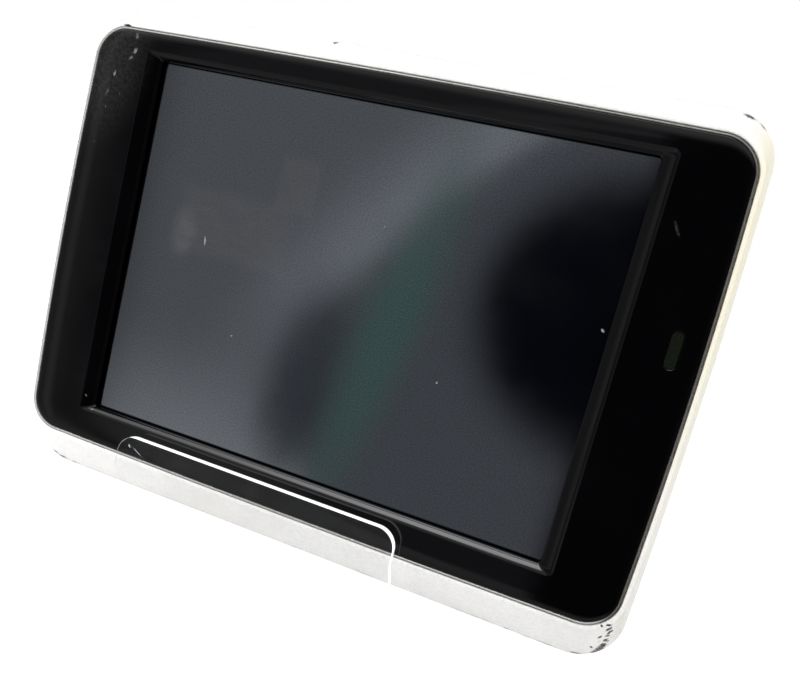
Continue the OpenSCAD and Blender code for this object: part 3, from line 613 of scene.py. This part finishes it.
# Materials of the other pieces: two shades, two roughnesses, metallic, grain per mm, bump height
FINISHES = {
    "foam": ((0.010, 0.010, 0.010), (0.02, 0.02, 0.02), 0.85, 0.98, 0.0, (4, 4, 4), 0.03),
    "display_glass": ((0.01, 0.011, 0.014), (0.014, 0.016, 0.02), 0.05, 0.1, 0.0, (0.3, 0.3, 0.3), 0.001),
    "sheet_steel": ((0.62, 0.62, 0.60), (0.48, 0.48, 0.47), 0.22, 0.42, 1.0, (0.2, 6, 6), 0.003),
    "tray_white": ((0.85, 0.85, 0.83), (0.78, 0.78, 0.76), 0.4, 0.55, 0.0, (1, 1, 1), 0.005),
    "flex_film": ((0.55, 0.26, 0.05), (0.42, 0.18, 0.03), 0.25, 0.4, 0.0, (3, 0.3, 0.3), 0.004),
    "chassis_metal": ((0.66, 0.66, 0.66), (0.55, 0.55, 0.56), 0.35, 0.5, 1.0, (0.4, 2, 2), 0.006),
    "board_green": ((0.012, 0.11, 0.045), (0.02, 0.17, 0.07), 0.3, 0.5, 0.0, (1.4, 1.4, 1.4), 0.02),
    "connector_ivory": ((0.75, 0.72, 0.6), (0.66, 0.62, 0.5), 0.4, 0.55, 0.0, (2, 2, 2), 0.006),
    "black_plastic": ((0.012, 0.012, 0.013), (0.03, 0.03, 0.032), 0.45, 0.65, 0.0, (7, 7, 7), 0.01),
    "ceramic": ((0.55, 0.44, 0.32), (0.46, 0.36, 0.26), 0.5, 0.7, 0.0, (2, 2, 2), 0.01),
    "ground_brass": ((0.70, 0.50, 0.18), (0.6, 0.42, 0.15), 0.25, 0.4, 1.0, (1, 1, 1), 0.004),
    "led_resin": ((0.85, 0.8, 0.55), (0.75, 0.7, 0.45), 0.1, 0.2, 0.0, (1, 1, 1), 0.002),
    "cell_foil": ((0.72, 0.72, 0.73), (0.6, 0.6, 0.62), 0.25, 0.45, 1.0, (0.3, 0.3, 1.2), 0.02),
    "wire_red": ((0.45, 0.015, 0.012), (0.33, 0.01, 0.01), 0.35, 0.5, 0.0, (2, 2, 2), 0.004),
    "magnet_iron": ((0.30, 0.30, 0.31), (0.22, 0.22, 0.23), 0.3, 0.5, 1.0, (1, 1, 1), 0.01),
    "screw_steel": ((0.10, 0.10, 0.105), (0.2, 0.2, 0.2), 0.25, 0.5, 1.0, (4, 4, 4), 0.008),
}


def plain_finish(name, one, other, smooth, rough, metallic, grain, height):
    """A moulded, pressed or coated surface with grain in its shade, roughness and relief."""
    s = Shader(name, Metallic=metallic)
    pattern = s.noise(1.0, 4.0, 0.6, place=s.stretched(*grain))
    wide = s.noise(0.15, 3.0)
    shade = s.times(s.plus(pattern, wide), 0.5)
    s.set("Base Color", s.mix(s.spread(shade), colour(*one), colour(*other)))
    s.set("Roughness", s.spread(wide, smooth, rough))
    s.set("Normal", s.bump(pattern, height))
    return s.material


materials = {name: plain_finish(name, *values) for name, values in FINISHES.items()}
for make in (case_paint, face_gloss, trim_chrome, clear_acrylic, touch_film, lens_smoke):
    materials[make.__name__] = make()

for part in frame["record"]["subparts"]:
    mesh = frame["nodes"][part["node"]].data
    mesh.materials.clear()
    mesh.materials.append(materials[part["material_slot"]])


# Front frame, face and trim

face = Section(face_y, face_high.x - CROWN, face_low.z + FACE_RISE, face_high.z - FACE_RISE, FACE_R, CROWN,
               FACE_RISE)
edge = Section(depth(EDGE_DEPTH), case_high.x - CROWN, case_low.z, case_high.z, BODY_R, CROWN, 0)
ring_grow = ring_high.x - face_high.x
trim_grow = ring_grow - TRIM_CUT
pocket_grow = trim_grow + SEAM
rim_grow = pocket_grow + RIM_LAND
rim = grown(face, rim_grow, depth(RIM_DROP))
rim_low = rim.low - rim.rise


def drafted(y, lean):
    """The side walls' section: sides and top lean in, the underside stays level."""
    return edge._replace(y=y, half=edge.half - lean, high=edge.high - lean)


def inset(section, amount):
    """A section drawn in by an amount, at its own Y."""
    return grown(section, -amount, section.y)


parting_lean = SIDE_DRAFT / 3
parting = drafted(parting_y, parting_lean)
# How many of the front shell's first bands, on the pocket's floor, stay unpainted black plastic, which also
# stands as painted shade in the seam
BARE_SHADE_BANDS = 1
# The rim's rounding: the share of its land where it starts, and of the slope where it ends
RIM_ROUND = 0.6
RIM_END = 0.06
# Where sections lie: shares of the slope and of the wall, the edge's rounding, and the ledge
SLOPE_SHARES = (0.25, 0.45, 0.65)
WALL_SHARES = (0.4, 0.75)
EDGE_START = 0.78
EDGE_RUN = 1.1
LEDGE_SHARE = 0.7
ARC_STEPS = 8


def front_shell():
    """A closed band: pocket, rim, slope, widest edge, wall to the parting, and back along the inside."""
    slope_end = blend(rim, edge, EDGE_START)
    wall_start = blend(edge, parting, EDGE_RUN / (parting.y - edge.y))
    shares = [i / ARC_STEPS for i in range(ARC_STEPS + 1)]
    floor_y = depth(BEZEL_T)
    sections = [grown(face, -ROLL_W / 2, floor_y), grown(face, pocket_grow, floor_y)]
    sections += [grown(face, pocket_grow, depth(RIM_DROP + FILLET)),
                 grown(face, pocket_grow + FILLET_MID * FILLET, depth(RIM_DROP + FILLET_MID * FILLET)),
                 grown(face, pocket_grow + FILLET, depth(RIM_DROP))]
    rim_end = blend(rim, edge, RIM_END)
    sections += [arc_blend(inset(rim, RIM_ROUND * RIM_LAND), rim, rim_end, t) for t in shares]
    sections += [blend(rim, edge, t) for t in SLOPE_SHARES]
    sections += [arc_blend(slope_end, edge, wall_start, t) for t in shares]
    sections += [blend(wall_start, parting, t) for t in WALL_SHARES]
    sections += [grown(parting, 0, parting.y - FILLET),
                 grown(parting, -FILLET_MID * FILLET, parting.y - FILLET_MID * FILLET),
                 grown(parting, -FILLET, parting.y)]
    sections += [inset(parting, WALL), grown(blend(rim, edge, LEDGE_SHARE), -WALL, depth(LEDGE_DEPTH)),
                 grown(face, -ROLL_W / 2, depth(LEDGE_DEPTH))]
    rings = [ring(section) for section in sections]
    mesh = loft(rings, closed=True)
    # Black plastic on the pocket's floor: bare, and painted shade for the seam
    for polygon in mesh.polygons[:BARE_SHADE_BANDS * len(rings[0])]:
        polygon.material_index = 1
    return mesh


# The window's corner radius, and how much less it is at the inner end of the bevel
WINDOW_R = 0.8
WINDOW_R_FALL = 0.4


def window(share, y):
    """The window's section, drawn in by a share of its bevel."""
    x, z = share * BEVEL_SIDE, share * BEVEL_END
    return Section(y, touch_high.x - TOUCH_LAP - x, touch_low.z + TOUCH_LAP + z,
                   touch_high.z - TOUCH_LAP - z, WINDOW_R - WINDOW_R_FALL * share, 0, 0)


def rolled(share, y):
    """The face's section, drawn in by a share of its rolled edge, which is narrower above the window."""
    side, top = (share * (w + FACE_LAP) - FACE_LAP for w in (ROLL_W, ROLL_TOP))
    return face._replace(y=y, half=face.half - side, low=face.low + side, high=face.high - top,
                         r=max(face.r - side, FILLET))


# Flat bands round the window, and how round its bevel is: 1 is a straight slant, 2 a quarter of an ellipse
WINDOW_LANDS = (0.2, 0.03)
WINDOW_ROUND = 1.18
WINDOW_STEPS = 14
# The lens's hole: gap round the lens, and how far its cutter is grown at its outer end
LENS_GAP = 0.07
LENS_FLARE = 0.9


def face_panel():
    """A plate with a rolled edge, a rounded bevel into the window and a hole for the indicator lens."""
    back = depth(BEZEL_T)
    turn = [pi / 2 * i / ARC_STEPS for i in range(ARC_STEPS + 1)]
    sections = [grown(face, FACE_LAP, back)]
    sections += [rolled(1 - cos(a), depth(BEZEL_ROLL * (1 - sin(a)))) for a in turn]
    sections += [grown(window(0, face_y), g, face_y) for g in WINDOW_LANDS]
    power = 2 / WINDOW_ROUND
    for i in range(WINDOW_STEPS + 1):
        a = pi / 2 * i / WINDOW_STEPS
        sections.append(window(sin(a) ** power, depth(BEVEL_DEPTH * (1 - cos(a) ** power))))
    sections.append(window(1, back))
    panel = loft([ring(section) for section in sections], closed=True)
    w, h = lens_high.x - lens_low.x, lens_high.z - lens_low.z
    place = facing_back((lens_low.x + lens_high.x) / 2, (lens_low.z + lens_high.z) / 2)
    levels = [(face_y - PAST, LENS_FLARE), (face_y + FILLET, LENS_GAP), (back + PAST, LENS_GAP)]
    return carved(panel, round_ended(w, h, place, levels))


# The chamfer on the trim's inner edge, as a share of the trim's width
TRIM_START = 0.1


def trim():
    """A narrow band round the face that falls away outwards."""
    inner = FACE_LAP + TRIM_GAP
    width = trim_grow - inner
    sections = [grown(face, inner, ring_high.y), grown(face, inner, ring_low.y + TRIM_START * width)]
    for i in range(ARC_STEPS + 1):
        share = TRIM_START + (1 - TRIM_START) * i / ARC_STEPS
        sections.append(grown(face, inner + width * share, ring_low.y + TRIM_FALL * share * share))
    sections.append(grown(face, trim_grow, ring_high.y))
    return loft([ring(section) for section in sections], closed=True)


piece("front_shell", front_shell(), "case", "case_paint", ["front_frame"], second="black_plastic")
piece("face_panel", face_panel(), "case", "face_gloss", ["face_bezel"])
piece("trim_bead", trim(), "case", "trim_chrome", ["trim_ring"])


# Clear tab over the chin

# Gap behind the tab, how far its top lies below the CAD box, and the radius of its upper corners
TAB_GAP = 0.05
TAB_DOWN = 0.35
TAB_R = 2.8
# Its front edge's rounding and its back edge's chamfer
TAB_EDGE = 0.22
TAB_EDGE_STEPS = 5
TAB_CHAMFER = 1.1
# Its bend, and the distance in metres within which points are merged
BEND_R = 1.2
BEND_STEPS = 8
MERGE = 1e-7


def tab():
    """A flat plate with round upper corners, bent at the foot of the face to lie on the chin."""
    fall = Vector((edge.y - rim.y, -rim_low))
    knee = Vector((face_y - TAB_GAP, rim_low - RIM_DROP * fall.y / fall.x))
    bend = atan2(fall.x, -fall.y)
    thick = knee.x - tab_low.y
    chin = (knee.y - tab_low.z - thick * sin(bend)) / cos(bend)
    total = tab_high.z - TAB_DOWN - knee.y + chin
    half_w = (tab_high.x - tab_low.x) / 2
    # The flat plate: X, run up from its foot, and height t above its back, where it is drawn in by g
    turn = [pi / 2 * i / TAB_EDGE_STEPS for i in range(TAB_EDGE_STEPS + 1)]
    levels = [(TAB_CHAMFER, 0), (0, TAB_CHAMFER)]
    levels += [(TAB_EDGE * (1 - cos(a)), thick - TAB_EDGE * (1 - sin(a))) for a in turn]
    rings = []
    for g, t in levels:
        outline = corner_and_side(half_w - g, (total + TAB_R) / 2 - g, TAB_R - g)
        rings.append([(x, max(run + total / 2 - TAB_R / 2, g), t) for x, run in outline])
    made = bmesh.new()
    made.from_mesh(loft(rings))
    bmesh.ops.remove_doubles(made, verts=made.verts, dist=MERGE)
    arc = BEND_R * bend
    for i in range(BEND_STEPS + 1):
        cut = chin + arc * (i / BEND_STEPS - 0.5)
        bmesh.ops.bisect_plane(made, geom=made.verts[:] + made.edges[:] + made.faces[:],
                               plane_co=(0, cut * MM, 0), plane_no=(0, 1, 0))
    # The bend: its foot lies on the chin, the rest on the face
    middle = (tab_low.x + tab_high.x) / 2
    for v in made.verts:
        x, run, t = v.co / MM
        share = min(max((run - chin) / arc + 0.5, 0), 1)
        slant = bend * (1 - share)
        foot = knee + fall.normalized() * max(chin - run, arc * 0.5)
        if run > chin - arc / 2:
            top = knee + Vector((0, max(run - chin, arc * 0.5)))
            foot = foot.lerp(knee, share).lerp(knee.lerp(top, share), share) if share < 1 else top
        v.co = Vector((middle + x, foot.x - t * cos(slant), foot.y - t * sin(slant))) * MM
    return as_mesh(made)


piece("clear_tab", tab(), "case", "clear_acrylic", ["badge_tab"])


# Rear cover

# Shell: gap at the parting, and the sections of its wall and of its round back edge
PARTING_GAP = 0.03
BACK_SHARES = (0.3, 0.55, 0.8)
BACK_STEPS = 14
# Where the hollow's floor meets its walls: set-in and height of the slant, and set-in of the floor
HOLLOW_SIDE = 0.5
HOLLOW_RISE = 0.8
HOLLOW_MARGIN = 1.6
# Every opening: its flared lip and how far its cutter runs on; the corner radius of oblong ones
FLARE = 0.2
THROUGH = 0.5
SLOT_R = 0.4
# Case screws: heads, bores and the tubes round them
SCREW_HEAD_R = 1.8
BORE_R = 1.95
BORE_DEPTH = 4.4
TUBE_R = 2.9
TUBE_LENGTH = 4.0
# Loudspeaker grille
SLOT_COUNT = 5
SLOT_W = 1.2
SLOT_PITCH = 2.3
SLOT_INSET = 4.5
SLOT_TAPER = 2.2
# Power key, memory card and charging socket: the gap round each, and the flange that holds the key inside
KEY_GAP = 0.3
KEY_FLANGE = 1.8
KEY_DEPTH = 3.0
CARD_INSET = 0.2
CARD_SLOT_DEPTH = 3.4
BASE_SLOT_DEPTH = 2.8
# What a cradle grips: two slots in the base and a notch in the top, where the top has a share of its lean
CRADLE_FROM_SIDE = 21.5
CRADLE_SLOT = (8.0, 2.4)
CRADLE_NOTCH = (16.0, 2.6)
NOTCH_DEPTH = 0.9
TOP_LEAN = 0.8
# Pinhole of the reset button
PINHOLE_R = 0.7
PINHOLE_DEPTH = 2.6


def flared(surface, inward, deep):
    """Levels of a cutter: straight from inside, flared at the surface, and on past it."""
    return [(surface + inward * deep, 0), (surface + inward * FLARE, 0), (surface, FLARE),
            (surface - inward * THROUGH, FLARE + THROUGH)]


def screw_places():
    """Middles of the four case screws in X and Z."""
    x = screw_high.x - SCREW_HEAD_R
    rows = (screw_low.z + SCREW_HEAD_R, screw_high.z - SCREW_HEAD_R)
    return [(side * x, z) for side in (-1, 1) for z in rows]


def rear_shell():
    """A hollow shell with round back edges, tubes for the screws and all its openings."""
    shoulder = drafted(back_y - BACK_ROUND, SIDE_DRAFT)
    seam = drafted(parting_y + PARTING_GAP, parting_lean)
    outer = [grown(seam, -FILLET, seam.y),
             grown(seam, -FILLET_MID * FILLET, seam.y + FILLET_MID * FILLET),
             grown(seam, 0, seam.y + FILLET)]
    outer += [blend(seam, shoulder, t) for t in BACK_SHARES]
    for i in range(BACK_STEPS + 1):
        a = pi / 2 * i / BACK_STEPS
        outer.append(grown(shoulder, -BACK_INSET * (1 - cos(a)), back_y - BACK_ROUND * (1 - sin(a))))
    shell = loft([ring(section) for section in outer])
    floor_y = back_y - WALL
    inner = [grown(seam, -WALL, seam.y - PAST), grown(shoulder, -WALL, shoulder.y),
             grown(shoulder, -WALL - HOLLOW_SIDE, floor_y - HOLLOW_RISE),
             grown(shoulder, -WALL - HOLLOW_MARGIN, floor_y)]
    shell = carved(shell, loft([ring(section) for section in inner]))
    tubes = [round_ended(2 * TUBE_R, 2 * TUBE_R, facing_back(x, z),
                         [(screw_high.y - TUBE_LENGTH, 0), (floor_y + WALL / 2, 0)])
             for x, z in screw_places()]
    shell = carved(shell, joined(tubes), "UNION")
    return carved(shell, joined(rear_cutters()))


def rear_cutters():
    """Cutters for screws, grille, card, charging socket, cradle, reset pinhole and power key."""
    cutters = []
    for x, z in screw_places():
        cutters.append(round_ended(2 * BORE_R, 2 * BORE_R, facing_back(x, z),
                                   flared(back_y, -1, BORE_DEPTH)))
    speaker = (speaker_low + speaker_high) / 2
    length = speaker_high.x - speaker_low.x - 2 * SLOT_INSET
    for i in range(SLOT_COUNT):
        row = i - (SLOT_COUNT - 1) / 2
        cutters.append(round_ended(length - abs(row) * SLOT_TAPER, SLOT_W,
                                   facing_back(speaker.x, speaker.z + row * SLOT_PITCH),
                                   flared(back_y, -1, WALL + THROUGH)))
    card = (card_low + card_high) / 2
    cutters.append(prism(card_high.y - card_low.y + 2 * KEY_GAP, card_high.z - card_low.z + 2 * KEY_GAP,
                         SLOT_R, facing_side(card.y, card.z),
                         flared(card_low.x + CARD_INSET, 1, CARD_SLOT_DEPTH)))
    usb = (usb_low + usb_high) / 2
    cutters.append(prism(usb_high.x - usb_low.x + 2 * KEY_GAP, usb_high.y - usb_low.y + 2 * KEY_GAP, SLOT_R,
                         facing_up(usb.x, usb.y), flared(0, 1, BASE_SLOT_DEPTH)))
    for side in (-1, 1):
        place = facing_up(side * (case_high.x - CRADLE_FROM_SIDE), usb.y)
        cutters.append(prism(*CRADLE_SLOT, SLOT_R, place, flared(0, 1, BASE_SLOT_DEPTH)))
    reset = (reset_low + reset_high) / 2
    cutters.append(round_ended(2 * PINHOLE_R, 2 * PINHOLE_R, facing_up(reset.x, reset.y),
                               flared(0, 1, PINHOLE_DEPTH)))
    top = case_high.z - TOP_LEAN * SIDE_DRAFT
    cutters.append(prism(*CRADLE_NOTCH, SLOT_R, facing_up(0, usb.y), flared(top, -1, NOTCH_DEPTH)))
    key = (key_low + key_high) / 2
    key_w = key_high.x - key_low.x - KEY_FLANGE
    key_t = key_high.y - key_low.y
    cutters.append(round_ended(key_w + 2 * KEY_GAP, key_t + 2 * KEY_GAP, facing_up(key.x, key.y),
                               flared(top, -1, KEY_DEPTH)))
    return cutters


piece("rear_shell", rear_shell(), "case", "case_paint", ["rear_cover"])


# Blank label and contacts on the memory card

# How far label and contacts stand proud of the card and reach into it
LABEL_PROUD = 0.03
SUNK = 0.1
LABEL = (18.0, 20.0)
LABEL_R = 0.8
LABEL_SHIFT = 2.0
PAD_COUNT = 8
PAD = (4.2, 1.5)
PAD_R = 0.3
PAD_PITCH = 2.4
PAD_FROM_END = 3.6


def card_label():
    """A blank label on the card's back."""
    middle = (card_low + card_high) / 2
    y = card_high.y
    return prism(*LABEL, LABEL_R, facing_back(middle.x - LABEL_SHIFT, middle.z),
                 [(y - SUNK, 0), (y + LABEL_PROUD / 2, 0), (y + LABEL_PROUD, -LABEL_PROUD / 2)])


def card_contacts():
    """A row of contacts on the card's front, at its inner end."""
    middle = (card_low + card_high) / 2
    y = card_low.y
    levels = [(y - LABEL_PROUD, -LABEL_PROUD / 2), (y - LABEL_PROUD / 2, 0), (y + SUNK, 0)]
    rows = [middle.z + (i - (PAD_COUNT - 1) / 2) * PAD_PITCH for i in range(PAD_COUNT)]
    return joined([prism(*PAD, PAD_R, facing_back(card_high.x - PAD_FROM_END, z), levels) for z in rows])


piece("card_label", card_label(), "memory_card", "tray_white")
piece("card_contacts", card_contacts(), "memory_card", "ground_brass")


# Soft edges on the CAD pieces that show

# Width of each node's edges
EDGE_NODES = {
    "power_key": 0.35, "status_lens": 0.12, "memory_card": 0.15, "case_screws": 0.08, "usb_shell": 0.08,
}
EDGE_SEGMENTS = 3
EDGE_ANGLE = radians(40)
# In metres
WELD = 1e-6

for name, width in EDGE_NODES.items():
    node = frame["nodes"][name]
    weld = node.modifiers.new("weld", "WELD")
    weld.merge_threshold = WELD
    rounding = node.modifiers.new("edges", "BEVEL")
    rounding.width = width * MM
    rounding.segments = EDGE_SEGMENTS
    rounding.limit_method = "ANGLE"
    rounding.angle_limit = EDGE_ANGLE


# Floor, light and camera

FLOOR_GAP = 0.02
FLOOR_HALF = 3000


def floor():
    """A pale floor, seen only from above."""
    made = bmesh.new()
    bmesh.ops.create_grid(made, x_segments=1, y_segments=1, size=FLOOR_HALF * MM)
    o = bpy.data.objects.new("floor", as_mesh(made))
    SCENE.collection.objects.link(o)
    o.location.z = -FLOOR_GAP * MM
    s = Shader("floor_white", Roughness=0.9, Emission_Strength=0.72)
    s.set("Base Color", s.mix(s.noise(0.01), colour(0.48, 0.48, 0.48), colour(0.52, 0.52, 0.52)))
    s.set("Emission Color", colour(1, 1, 1))
    s.set("Alpha", s.minus(1.0, s.node("ShaderNodeNewGeometry").outputs["Backfacing"]))
    o.data.materials.append(s.material)
    o.visible_glossy = False


floor()


def softbox(name, place, target, size, power):
    """An area light that the gloss doesn't mirror; its power is in watts."""
    data = bpy.data.lights.new(name, "AREA")
    data.shape = "RECTANGLE"
    data.size, data.size_y = (length * MM for length in size)
    data.energy = power
    light = bpy.data.objects.new(name, data)
    light.location = Vector(place) * MM
    light.rotation_euler = (Vector(target) - Vector(place)).to_track_quat("-Z", "Y").to_euler()
    SCENE.collection.objects.link(light)
    light.visible_glossy = False


softbox("top_light", (-250, -150, 600), (0, 0, 40), (600, 600), 3.8)
softbox("back_light", (300, 700, 500), (0, 0, 40), (600, 600), 1.2)
softbox("left_light", (-90, -70, 20), (-30, 0, 3), (60, 60), 0.065)
softbox("right_light", (300, -200, 250), (48, 0, 36), (200, 200), 0.9)

# The camera as fitted to the photograph: place, turn in degrees, and lens and image centre in pixels
CAMERA_PLACE = (34.25, -94.16, 42.72)
CAMERA_TURN = (81.841, -14.433, 16.939)
FOCAL_PIXELS = 677.7
IMAGE_SIZE = (800, 691)
PRINCIPAL = (400.0, 375.9)
SENSOR = 36.0
CLIP_START = 5

data = bpy.data.cameras.new("camera")
data.sensor_width = SENSOR
data.lens = FOCAL_PIXELS / IMAGE_SIZE[0] * SENSOR
data.shift_x = (IMAGE_SIZE[0] / 2 - PRINCIPAL[0]) / IMAGE_SIZE[0]
data.shift_y = (PRINCIPAL[1] - IMAGE_SIZE[1] / 2) / IMAGE_SIZE[0]
data.clip_start = CLIP_START * MM
camera = bpy.data.objects.new("camera", data)
camera.location = Vector(CAMERA_PLACE) * MM
camera.rotation_euler = [radians(a) for a in CAMERA_TURN]
SCENE.collection.objects.link(camera)
SCENE.camera = camera


# What the gloss reflects: soft shapes, laid out in X and Z where the camera sees them mirrored in the face

def grey(level):
    """A neutral colour."""
    return colour(level, level, level)


def make_world():
    """White to the camera, even light on matt surfaces, and soft shapes for the gloss to mirror."""
    world = bpy.data.worlds.new("studio")
    SCENE.world = world
    s = Graph(world)
    s.tree.nodes.clear()
    toward = s.axes(s.node("ShaderNodeTexCoord").outputs["Generated"])
    ahead = s.larger(s.times(toward["Y"], -1.0), 0.05)
    distance = face_y - CAMERA_PLACE[1]
    x = s.plus(s.times(s.math("DIVIDE", toward["X"], ahead), distance), CAMERA_PLACE[0])
    z = s.plus(s.times(s.math("DIVIDE", toward["Z"], ahead), distance), CAMERA_PLACE[2])
    s.place = s.node("ShaderNodeCombineXYZ", {"X": x, "Y": 0.0, "Z": z}).outputs[0]

    def patch(middle, half, turn, soft):
        """1 inside a soft oval, 0 outside."""
        return s.ramp(s.oval(middle, half, turn), 1 + soft, 1 - soft)

    # The room from left to right: pale, dark, middling; and paler low down
    tone = s.mix(s.ramp(x, -90, -55), grey(0.17), grey(0.35))
    tone = s.mix(s.ramp(x, -56, -36.5), tone, colour(0.065, 0.066, 0.068))
    tone = s.mix(s.ramp(x, -38, -28.5), tone, colour(0.178, 0.182, 0.192))
    tone = s.mix(s.times(s.ramp(z, 30, 8), s.ramp(x, -42, -24)), tone, colour(0.39, 0.39, 0.40))
    # A leaning pale streak, darker shapes over it, a green gleam, and a black disc about the camera
    streak = s.times(patch((24, 48), (20.5, 54), -43, 0.3), s.ramp(z, 24, 44, 0.35, 1.0))
    tone = s.mix(streak, tone, colour(0.35, 0.36, 0.375))
    shadow = s.larger(patch((24.6, 48), (13.5, 43.5), -44, 0.1), patch((28.5, 21), (28.5, 31), 0, 0.06))
    tone = s.mix(shadow, tone, colour(0.124, 0.128, 0.14))
    tone = s.mix(patch((-2, 25.5), (5.2, 12.5), -3, 0.5), tone, colour(0.07, 0.075, 0.085))
    tone = s.mix(patch((7.9, 35), (3.4, 21), -10, 0.7), tone, colour(0.1, 0.185, 0.16))
    tone = s.mix(patch((36, 44), (17.4, 17.4), 0, 0.2), tone, colour(0.002, 0.003, 0.006))
    # Black to the right, pale below, white behind, dim far to the right and pale above
    tone = s.mix(s.ramp(x, 33.5, 37), tone, grey(0.002))
    tone = s.mix(s.ramp(z, -20, -50), tone, grey(0.3))
    tone = s.mix(s.ramp(toward["Y"], -0.1, 0.2), tone, grey(0.9))
    tone = s.mix(s.ramp(toward["X"], 0.45, 0.65), tone, colour(0.05, 0.045, 0.04))
    tone = s.mix(s.ramp(toward["Z"], 0.4, 0.65), tone, grey(0.6))
    # A bright strip overhead that fades to the left and ends on the right
    lean = s.math("DIVIDE", s.math("ABSOLUTE", toward["Y"]), s.larger(toward["Z"], 0.4))
    strip = s.times(s.ramp(lean, 0.395, 0.27), s.ramp(toward["Z"], 0.5, 0.7))
    strip = s.times(strip, s.ramp(toward["X"], -0.7, -0.1, 0.2, 1.0))
    strip = s.times(strip, s.ramp(toward["X"], 0.35, 0.2))
    tone = s.mix(strip, tone, grey(6.5))
    ray = s.node("ShaderNodeLightPath").outputs
    seen = s.mix(ray["Is Glossy Ray"], grey(0.66), tone)
    seen = s.mix(ray["Is Camera Ray"], seen, grey(1.0))
    back = s.node("ShaderNodeBackground", {"Color": seen})
    s.node("ShaderNodeOutputWorld", {"Surface": back.outputs[0]})


make_world()
SCENE.view_settings.view_transform = "Standard"
